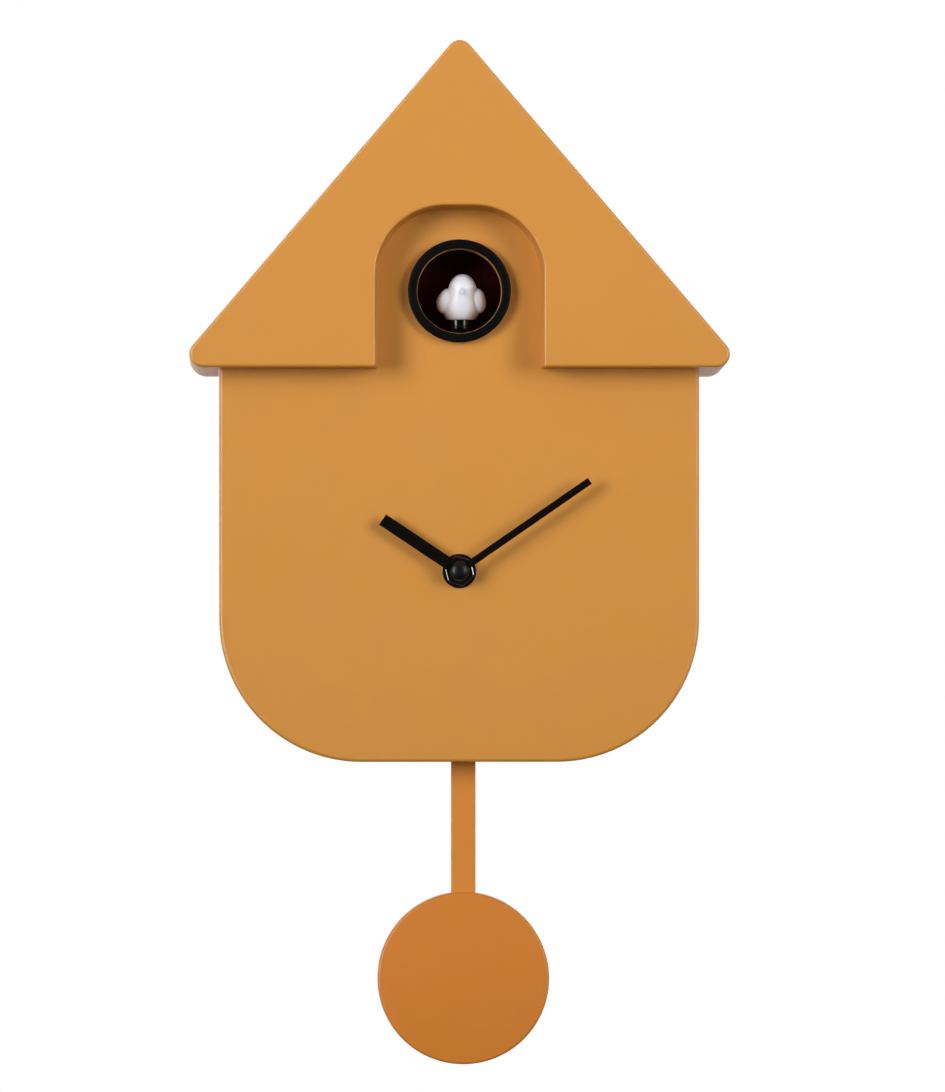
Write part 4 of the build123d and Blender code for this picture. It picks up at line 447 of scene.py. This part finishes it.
chip_black = dressed("chip_black", (0.016, 0.016, 0.017), 0.48,
                     ((0.022, 0.022, 0.022), 3, 0.04), (0.25, 0.008))
cone_paper = dressed("cone_paper", (0.030, 0.028, 0.026), 0.80,
                     ((0.048, 0.044, 0.040), 1.5, 0.05), (0.6, 0.05, 6.0), specular=0.2)
lead_skin = dressed("lead_skin", (0.020, 0.020, 0.022), 0.38,
                    ((0.028, 0.027, 0.028), 4, 0.04), (0.8, 0.004))
washer_black = dressed("washer_black", (0.020, 0.020, 0.020), 0.72,
                       ((0.028, 0.028, 0.028), 3, 0.05), (0.3, 0.015), specular=0.3)
sensor_glass = dressed("sensor_glass", (0.030, 0.006, 0.005), 0.10,
                       ((0.040, 0.008, 0.006), 3, 0.02), (2.0, 0.002), specular=0.6)
shader_of(sensor_glass).inputs["Coat Weight"].default_value = 0.5

# %% [markdown]
# ## The cells
# The cells wear a plain two-tone jacket, a band of light grey on charcoal, and no words. The height
# on the cell, which is the Z of Object coordinates, picks one of the two colours in a single step.

# %% Cell jackets
_, cell_high = box_mm("batteries")
JACKET, BAND = (0.030, 0.031, 0.034), (0.42, 0.43, 0.45)
BAND_TALL, BAND_EDGE = 16.0, 0.5         # mm from the cells' upper end, and over which it changes
cell_jacket = grain(finish("cell_jacket", JACKET, 0.28), 0.6, 0.003)
nodes, links = cell_jacket.node_tree.nodes, cell_jacket.node_tree.links
height_on_cell = nodes.new("ShaderNodeSeparateXYZ")
links.new(place_on(cell_jacket), height_on_cell.inputs[0])
band = nodes.new("ShaderNodeMapRange")
band.interpolation_type = "STEPPED"
band.inputs["Steps"].default_value = 1.0
band.inputs["From Min"].default_value = (cell_high[2] - BAND_TALL) * MM
band.inputs["From Max"].default_value = (cell_high[2] - (BAND_TALL - BAND_EDGE)) * MM
links.new(height_on_cell.outputs["Z"], band.inputs["Value"])
two_tone = nodes.new("ShaderNodeMix")
two_tone.data_type = "RGBA"
two_tone.inputs["A"].default_value = (*JACKET, 1.0)
two_tone.inputs["B"].default_value = (*BAND, 1.0)
links.new(band.outputs["Result"], two_tone.inputs["Factor"])
links.new(two_tone.outputs["Result"], shader_of(cell_jacket).inputs["Base Color"])
print("cells end at", np.round(cell_high[2], 2), "mm")

# %% [markdown]
# ## Who wears which finish
# The record names a material slot for every CAD node. Most nodes take their slot's finish, and a
# few take a variant of it.

# %% Dress the CAD nodes
FINISH_OF_SLOT = {
    "orange_shell": shell_orange, "black_plastic": cover_black, "black_gloss": black_gloss,
    "black_paint": hand_paint, "white_plastic": bird_white, "gear_plastic": gear_white,
    "zinc_steel": zinc_steel, "copper_wire": copper, "magnet_iron": magnet_grey,
    "circuit_board": board_green, "chip_plastic": chip_black, "cone_paper": cone_paper,
    "cell_jacket": cell_jacket, "lead_insulation": lead_skin, "washer_rubber": washer_black,
    "sensor_lens": sensor_glass,
}
FINISH_OF_NODE = {
    # the pendulum's redder orange is painted light and shade, not a different plastic
    "pendulum_rod": rod_orange_painted_shading, "bob_front": pendulum_orange_painted_shading, "bob_back": pendulum_orange_painted_shading,
    # the chamber's dark red is painted shade and bounce light on black plastic
    "bird_chamber": chamber_painted_warm_shade, "porthole_ring": black_satin, "hand_cap": cap_black,
    "battery_springs": spring_steel, "battery_contacts": spring_steel,
}
slot_of = {part["node"]: part["material_slot"] for part in frame["record"]["subparts"]}
for name, node in frame["nodes"].items():
    node.material_slots[0].material = FINISH_OF_NODE.get(name, FINISH_OF_SLOT[slot_of[name]])
print("finishes:", len(set(FINISH_OF_SLOT.values()) | set(FINISH_OF_NODE.values())))

# %% [markdown]
# ## The bird
# The cuckoo is one small casting in white plastic: a chick-like shape with a domed head, a breast
# that swells towards the foot, two folded wings and a raised tail. Sculpting would do it, but the
# shape is simple enough for formulas: level slices, each an oval whose width and reach follow
# smooth curves through a few stations.

# %% Curves through stations, and level ovals
BIRD_MIDDLE = (0.85, -51.0)       # mm, x and y of the line that it stands on
bird_low, bird_high = box_mm("bird")
BIRD_FOOT = bird_low[2]
print("bird", np.round(bird_low, 2), np.round(bird_high, 2))


def through(stations, count):
    """A Catmull-Rom curve through the rows: at each share of the way, a cubic blend of the four
    rows around it."""
    p = np.vstack([2 * stations[0] - stations[1], stations, 2 * stations[-1] - stations[-2]])
    t = np.linspace(0, len(stations) - 1, count)
    i = np.minimum(t.astype(int), len(stations) - 2)
    s = (t - i)[:, None]
    a, b, c, d = p[i], p[i + 1], p[i + 2], p[i + 3]
    return b + 0.5 * s * (c - a + s * (2 * a - 5 * b + 4 * c - d + s * (3 * (b - c) + d - a)))


def slices(stations, rows=120, columns=144):
    """Level ovals. A station is height, half width, front reach, back reach and the place of the
    widest point; the oval is width * cos(angle) across and reach * sin(angle) to front or back."""
    h, width, front, back, middle = through(np.asarray(stations, float), rows).T[:, :, None]
    angle = np.linspace(0, 2 * np.pi, columns, endpoint=False)[None]
    reach = np.where(np.sin(angle) > 0, front - middle, back + middle)
    x = np.maximum(width, 0) * np.cos(angle)
    y = -(middle + np.maximum(reach, 0) * np.sin(angle))
    points = np.stack([x, y, np.broadcast_to(h, x.shape)], -1).reshape(-1, 3)
    bottom, top = list(range(columns))[::-1], list(range((rows - 1) * columns, rows * columns))
    return points, grid_faces(rows, columns) + [bottom, top]


# %% [markdown]
# ## Long ovals
# Wings, tail, beak and eyes are ovals drawn out along a line. Each is an ellipse carried from one
# end to the other, which grows from nothing and shrinks to nothing again as the slices of a ball
# do. A taper makes one end fuller.

# %% Long ovals
def oval(start, end, thick, wide, taper=0.0, rows=40, columns=48):
    """A long oval from start to end. At a share u of its length its radius is the square root of
    1 - u squared, times 1 - taper * u; thick and wide are the two half widths across it."""
    start, end = np.asarray(start, float), np.asarray(end, float)
    along = (end - start) / 2
    side = np.cross(along, (1.0, 0.0, 0.0))
    side /= np.linalg.norm(side)
    other = np.cross(side, along / np.linalg.norm(along))
    u = -np.cos(np.linspace(0, np.pi, rows))[:, None, None]
    angle = np.linspace(0, 2 * np.pi, columns, endpoint=False)[None, :, None]
    girth = np.sqrt(np.maximum(1 - u ** 2, 0)) * (1 - taper * u)
    across = thick * np.sin(angle) * side + wide * np.cos(angle) * other
    points = (start + end) / 2 + along * u + girth * across
    return points.reshape(-1, 3), grid_faces(rows, columns)


# %% [markdown]
# ## The bird's measures
# The body is one stack of level ovals, and the rest are long ovals: two to each wing, one for the
# tail and one for the beak. All lengths are in mm from the middle of the foot, with the beak
# towards negative y.

# %% The bird's measures
BIRD_BODY = [  # height, width, front, back, middle
    (0.00, 5.45, 5.60, 5.20, 0.2), (0.45, 5.80, 6.20, 6.10, 0.2), (1.60, 6.65, 7.20, 7.90, 0.3),
    (3.40, 7.40, 8.10, 9.10, 0.5), (5.80, 7.30, 8.75, 9.60, 0.8), (8.40, 6.35, 9.15, 8.60, 1.4),
    (10.70, 5.75, 9.35, 5.40, 2.6), (12.70, 5.55, 9.40, 2.00, 3.7), (14.50, 4.90, 9.10, 0.60, 4.1),
    (16.20, 3.80, 8.15, -0.50, 4.2), (17.40, 2.35, 6.60, -2.00, 4.2),
    (17.88, 0.85, 5.05, -3.40, 4.2), (17.90, 0.02, 4.22, -4.18, 4.2)]
# start, end, half thickness, half width, taper; wings and eye are those of the right side
WING_FRONT = ((5.3, -4.4, 12.3), (7.1, -1.9, 2.5), 3.1, 3.5, -0.06)
WING_REAR = ((6.2, -2.5, 8.6), (4.9, 9.2, 5.4), 3.7, 3.1, 0.2)
EYE = ((3.5, -8.65, 12.75), (3.5, -7.35, 12.75), 0.6, 0.6, 0.0)
TAIL = ((-0.6, 4.2, 6.4), (-3.9, 11.6, 15.9), 1.5, 2.2, 0.25)
BEAK = ((0.0, -7.6, 12.4), (0.0, -11.7, 9.7), 0.95, 1.05, 0.35)
HEAD_TURN, NECK_LOW, NECK_HIGH = 0.5, 7.0, 12.5       # mm: the head sits a little to one side
MELT_VOXEL = 0.17                                     # mm
SOFTEN, SOFTEN_TIMES = 0.5, 10

# %% [markdown]
# ## The bird's skin
# A voxel remesh melts body, wings, tail and beak into one closed skin, and a few rounds of
# smoothing soften the creases where they meet. The eyes stay a piece of their own, so that they
# keep their edge.

# %% The bird's skin
def on_side(form, side):
    """The same oval on the right (side = 1), or mirrored to the left (side = -1)."""
    start, end, *rest = form
    return (side * start[0], *start[1:]), (side * end[0], *end[1:]), *rest


def on_perch(shell):
    """Moves a shell to its place and leans the head over by a smooth step between the two necks."""
    points, faces = shell
    rise = np.clip((points[:, 2] - NECK_LOW) / (NECK_HIGH - NECK_LOW), 0, 1)
    lean = HEAD_TURN * rise ** 2 * (3 - 2 * rise)
    return points + np.column_stack([lean, 0 * lean, 0 * lean]) + (*BIRD_MIDDLE, BIRD_FOOT), faces


shells, eyes = [slices(BIRD_BODY)], []
for side in (-1, 1):
    shells += [oval(*on_side(WING_FRONT, side)), oval(*on_side(WING_REAR, side))]
    eyes.append(oval(*on_side(EYE, side), rows=20, columns=32))
shells += [oval(*TAIL), oval(*BEAK)]
bird = make_piece("bird_figure", [on_perch(shell) for shell in shells], "bird_carriage",
                  bird_white, ("bird",))
make_piece("bird_eyes", [on_perch(eye) for eye in eyes], "bird_carriage",
           bird_white)
melt = bird.modifiers.new("melt", "REMESH")
melt.mode = "VOXEL"
melt.voxel_size = MELT_VOXEL * MM
melt.use_smooth_shade = True
soften = bird.modifiers.new("soften", "SMOOTH")
soften.factor = SOFTEN
soften.iterations = SOFTEN_TIMES

# %% [markdown]
# ## The perch
# The bird stands on a short glossy post with a wider foot. A turned profile with small roundings
# gives the two upright glints that such a post shows between two soft boxes.

# %% The perch
low, high = box_mm("bird_pedestal")
print("pedestal", np.round(low, 2), np.round(high, 2))
POST_R, POST_TOP, FOOT_TALL = 5.35, BIRD_FOOT, 1.6
POST_ROUND, NECK_ROUND, FOOT_ROUND, SOLE_ROUND = 0.25, 0.2, 0.35, 0.2
foot_r = (high[0] - low[0]) / 2
foot_top = low[2] + FOOT_TALL
post = round_corners([(0, POST_TOP), (POST_R, POST_TOP), (POST_R, foot_top), (foot_r, foot_top),
                      (foot_r, low[2]), (0, low[2])],
                     (0, POST_ROUND, NECK_ROUND, FOOT_ROUND, SOLE_ROUND, 0))
post_middle = ((low[0] + high[0]) / 2, BIRD_MIDDLE[1], 0)
make_piece("bird_perch", [turned(post, post_middle, axis="z")], "bird_carriage",
           perch_black, ("bird_pedestal",))

# %% [markdown]
# ## The porthole ring
# A satin black ring frames the opening. It is turned from a rectangle whose front corners are
# rounded, the outer one more than the inner one.

# %% The porthole ring
low, high = box_mm("porthole_ring")
print("ring", np.round(low, 2), np.round(high, 2))
RING_INNER, OUTER_ROUND, INNER_ROUND = 16.7, 0.75, 0.45
ring_r = (high[0] - low[0]) / 2
ring_middle = (low + high) / 2
ring_axis = (ring_middle[0], 0, ring_middle[2])
section = round_corners([(RING_INNER, high[1]), (ring_r, high[1]), (ring_r, low[1]),
                         (RING_INNER, low[1])], (0, 0, OUTER_ROUND, INNER_ROUND))
make_piece("porthole_frame", [turned(section, ring_axis, turns=192, closed=True)],
           "case", black_satin, ("porthole_ring",))

# %% [markdown]
# ## The sleeve behind the ring
# A short orange sleeve lines the mouth of the bird's chamber. Its edge shows as a thin warm line
# inside the ring. It is turned from a small rectangle, as the ring is.

# %% The sleeve
SLEEVE_INNER, SLEEVE_OUTER, SLEEVE_FRONT, SLEEVE_REAR = 16.5, 18.3, -62.4, -57.0
SLEEVE_OUTER_ROUND, SLEEVE_INNER_ROUND = 0.2, 0.4
sleeve = round_corners([(SLEEVE_INNER, SLEEVE_FRONT), (SLEEVE_OUTER, SLEEVE_FRONT),
                        (SLEEVE_OUTER, SLEEVE_REAR), (SLEEVE_INNER, SLEEVE_REAR)],
                       (0, 0, SLEEVE_OUTER_ROUND, SLEEVE_INNER_ROUND))
make_piece("porthole_sleeve", [turned(sleeve, ring_axis, turns=128, closed=True)],
           "case", shell_orange)

# %% [markdown]
# ## The hands
# The hands are stamped strips with a round eye. Seen from the eye, the outline is a polar curve:
# the eye's radius or the strip's edge, whichever is further out. Each eye has a bore. The hour hand
# sits on a pipe, and the arbor of the minute hand turns freely inside that pipe.

# %% The outline of a hand
hub_low, hub_high = box_mm("hand_cap")
HUB = (hub_low + hub_high) / 2
print("hub", np.round(HUB, 2))


def hand_outline(length, width, eye, heading, steps=96):
    """radius(angle) = the larger of the eye's radius and the distance to the strip's edge, which is
    the smaller of length / cos and half the width / sin; heading is in degrees from upright."""
    corner = np.arctan2(width / 2, length)
    neck = np.arcsin(width / 2 / eye)
    even = np.linspace(-np.pi, np.pi, steps, endpoint=False)
    angle = np.unique(np.concatenate([even, [corner, -corner, neck, -neck]]))
    cos, sin = np.maximum(np.cos(angle), 1e-9), np.maximum(np.abs(np.sin(angle)), 1e-9)
    strip = np.where(np.cos(angle) > 0, np.minimum(length / cos, width / 2 / sin), 0)
    radius = np.maximum(eye, strip)
    turn = np.radians(heading)
    across, up = radius * np.sin(angle), radius * np.cos(angle)
    return np.column_stack([HUB[0] + up * np.sin(turn) + across * np.cos(turn),
                            HUB[2] + up * np.cos(turn) - across * np.sin(turn)])


def bored_plate(outline, bore, front, back):
    """A flat plate around the hub's axis: the outline and the edge of a round hole, seen from the
    hub at the same angles, at two depths."""
    middle = HUB[[0, 2]]
    spoke = outline - middle
    rim = middle + bore * spoke / np.linalg.norm(spoke, axis=1)[:, None]
    rings = [(outline, front), (outline, back), (rim, back), (rim, front)]
    points = np.concatenate([np.column_stack([ring[:, 0], np.full(len(ring), y), ring[:, 1]])
                             for ring, y in rings])
    return points, grid_faces(len(rings), len(outline), wrap_rows=True)


# %% [markdown]
# ## Stamped edges
# A stamped strip has its edges rolled over slightly. A Bevel modifier does that wherever two faces
# meet at more than a set angle, and weighted normals keep the flat faces flat.

# %% Both hands
SHARP_EDGE = 50                          # degrees


def stamped(piece, width):
    """Rolls the sharp edges of a stamped plate over by a small bevel."""
    edge = piece.modifiers.new("rolled_edge", "BEVEL")
    edge.width = width * MM
    edge.segments = 2
    edge.limit_method = "ANGLE"
    edge.angle_limit = np.radians(SHARP_EDGE)
    even = piece.modifiers.new("even_shading", "WEIGHTED_NORMAL")
    even.keep_sharp = False


PIPE_R, ARBOR_R = 2.5, 1.7
HOUR_HAND = (36.3, 4.9, 3.2, 303.8)      # length, width, eye, heading
MINUTE_HAND = (62.1, 2.85, 2.6, 55.3)
ROLLED = 0.12                            # mm
low, high = box_mm("hour_hand")
hour_plate = bored_plate(hand_outline(*HOUR_HAND), PIPE_R, low[1], high[1])
hour = make_piece("hour_strip", [hour_plate], "hour_works", hand_paint,
                  ("hour_hand",))
stamped(hour, ROLLED)
low, high = box_mm("minute_hand")
minute_plate = bored_plate(hand_outline(*MINUTE_HAND), ARBOR_R, low[1], high[1])
minute = make_piece("minute_strip", [minute_plate], "minute_works", hand_paint,
                    ("minute_hand",))
stamped(minute, ROLLED)

# %% [markdown]
# ## The cap and the nut
# The cap is a low dome over the arbor's end. The flanged nut behind the hands is a hexagon whose
# corners are turned off by a circle: the smaller of the two radii at each angle, with a soft
# passage between them.

# %% The cap and the nut
cap_r = (hub_high[0] - hub_low[0]) / 2
DOME_TALL, CAP_CHAMFER = 1.75, 0.15
hub_axis = (HUB[0], 0, HUB[2])
t = np.linspace(0, np.pi / 2, 24)
dome = np.column_stack([cap_r * np.cos(t), hub_low[1] + DOME_TALL * (1 - np.sin(t))])
dome = np.vstack([[0, hub_high[1]], [cap_r - CAP_CHAMFER, hub_high[1]],
                  [cap_r, hub_high[1] - CAP_CHAMFER], dome, [0, hub_low[1]]])
make_piece("hub_cap", [turned(dome, hub_axis, turns=96)], "minute_works",
           cap_black, ("hand_cap",))

low, high = box_mm("fixing_nut")
print("nut", np.round(low, 2), np.round(high, 2))
CASE_FACE = -65.0                        # mm, y of the body's front
FLANGE_R, FLANGE_T, HEX_R, HEX_TURN, NUT_BORE = 6.75, 1.1, 6.3, 44.0, 3.9
TURNED_R, BEVEL_WIDE, BEVEL_DEEP = 6.2, 1.25, 0.48
FLANGE_ROUND, HARDNESS, NUT_COLUMNS = 0.15, 4, 240     # hardness of the passage, per mm
angle = np.linspace(0, 2 * np.pi, NUT_COLUMNS, endpoint=False)
sector = (np.degrees(angle) - HEX_TURN) % 60.0 - 30.0
hexagon = HEX_R * np.cos(np.radians(30)) / np.cos(np.radians(sector))
flange_front = CASE_FACE - FLANGE_T
front = low[1]
rim = -np.log(np.exp(-HARDNESS * hexagon) + np.exp(-HARDNESS * TURNED_R)) / HARDNESS
bend = np.radians(np.linspace(0, 90, 12))[:, None]
bore = np.full((1, NUT_COLUMNS), NUT_BORE)
grid = np.vstack([bore, rim[None], rim - BEVEL_WIDE * (1 - np.cos(bend)), bore, bore])
depth = np.concatenate([[flange_front] * 2, front + BEVEL_DEEP * (1 - np.sin(bend[:, 0])),
                        [front, flange_front]])
nut_points = np.stack([HUB[0] + grid * np.cos(angle), np.broadcast_to(depth[:, None], grid.shape),
                       HUB[2] + grid * np.sin(angle)], -1).reshape(-1, 3)
flange = round_corners([(NUT_BORE, CASE_FACE), (FLANGE_R, CASE_FACE), (FLANGE_R, flange_front),
                        (NUT_BORE, flange_front)], (0, 0, FLANGE_ROUND, 0))
make_piece("hub_nut", [(nut_points, grid_faces(len(depth), NUT_COLUMNS)),
                       turned(flange, hub_axis, turns=128, closed=True)],
           "case", black_gloss, ("fixing_nut",), crease=50.0)

# %% [markdown]
# ## The pendulum
# A flat strip carries a round bob made of a dish and a lid. The dish is a turned disc with a gently
# crowned face and a rounded rim, and it closes on the lid behind it. The strip and the lid come
# from the CAD model as they are, and the dish's wall is lower where they pass through it.

# %% The pendulum
low, high = box_mm("bob_front")
print("bob front", np.round(low, 2), np.round(high, 2))
bob_r = (high[0] - low[0]) / 2
bob_middle = (low + high) / 2
rod_low, rod_high = box_mm("pendulum_rod")
print("rod", np.round(rod_low, 2), np.round(rod_high, 2))
DISH_WALL, CROWN = 1.6, 1.1
RIM_WIDE, RIM_ROUND, LIP_ROUND, FLOOR_ROUND = 1.2, 1.1, 0.25, 0.6
CROWN_AT_RIM = 0.93                      # the share of the crown where the rim begins
SEAM_PLAY, ROD_PLAY, ROD_CLEAR = 0.02, 0.9, 0.1
across = np.linspace(0, bob_r - RIM_WIDE, 24)
face = np.column_stack([across, low[1] + CROWN * (across / bob_r) ** 2])
seam = high[1] - SEAM_PLAY
rim = round_corners([(bob_r - RIM_WIDE, low[1] + CROWN * CROWN_AT_RIM), (bob_r, low[1] + CROWN),
                     (bob_r, seam), (bob_r - DISH_WALL, seam),
                     (bob_r - DISH_WALL, low[1] + DISH_WALL + CROWN), (0, low[1] + DISH_WALL)],
                    (0, RIM_ROUND, LIP_ROUND, 0, FLOOR_ROUND, 0))
dish_points, dish_faces = turned(np.vstack([face, rim]), (bob_middle[0], 0, bob_middle[2]),
                                 turns=256)
notch_half = (rod_high[0] - rod_low[0]) / 2 + ROD_PLAY
notch_front = rod_low[1] - ROD_CLEAR
notched = ((np.abs(dish_points[:, 0] - bob_middle[0]) < notch_half)
           & (dish_points[:, 2] > bob_middle[2]) & (dish_points[:, 1] > notch_front))
dish_points[notched, 1] = notch_front
make_piece("bob_dish", [(dish_points, dish_faces)], "pendulum", pendulum_orange_painted_shading,
           ("bob_front",))

# %% [markdown]
# ## The floor
# The clock hangs on nothing but light. A dim floor far below it throws a little light back up, and
# the camera doesn't see it.

# %% The floor
FLOOR_Z, FLOOR_HALF, FLOOR_POINTS = -1.05, 1.5, 9      # metres, and points to a side
u = np.linspace(-FLOOR_HALF, FLOOR_HALF, FLOOR_POINTS)
fx, fy = np.meshgrid(u, u, indexing="ij")
floor_mesh = bpy.data.meshes.new("floor")
floor_points = np.stack([fx, fy, np.full_like(fx, FLOOR_Z)], -1).reshape(-1, 3)
floor_mesh.from_pydata(floor_points.tolist(), [],
                       grid_faces(FLOOR_POINTS, FLOOR_POINTS, wrap_columns=False))
floor_mesh.materials.append(dressed("dim_floor", (0.16, 0.16, 0.155), 0.65,
                                    ((0.14, 0.14, 0.135), 180, 0.04), (3.0, 0.03)))
floor = bpy.data.objects.new("floor", floor_mesh)
bpy.context.scene.collection.objects.link(floor)
floor.visible_camera = False
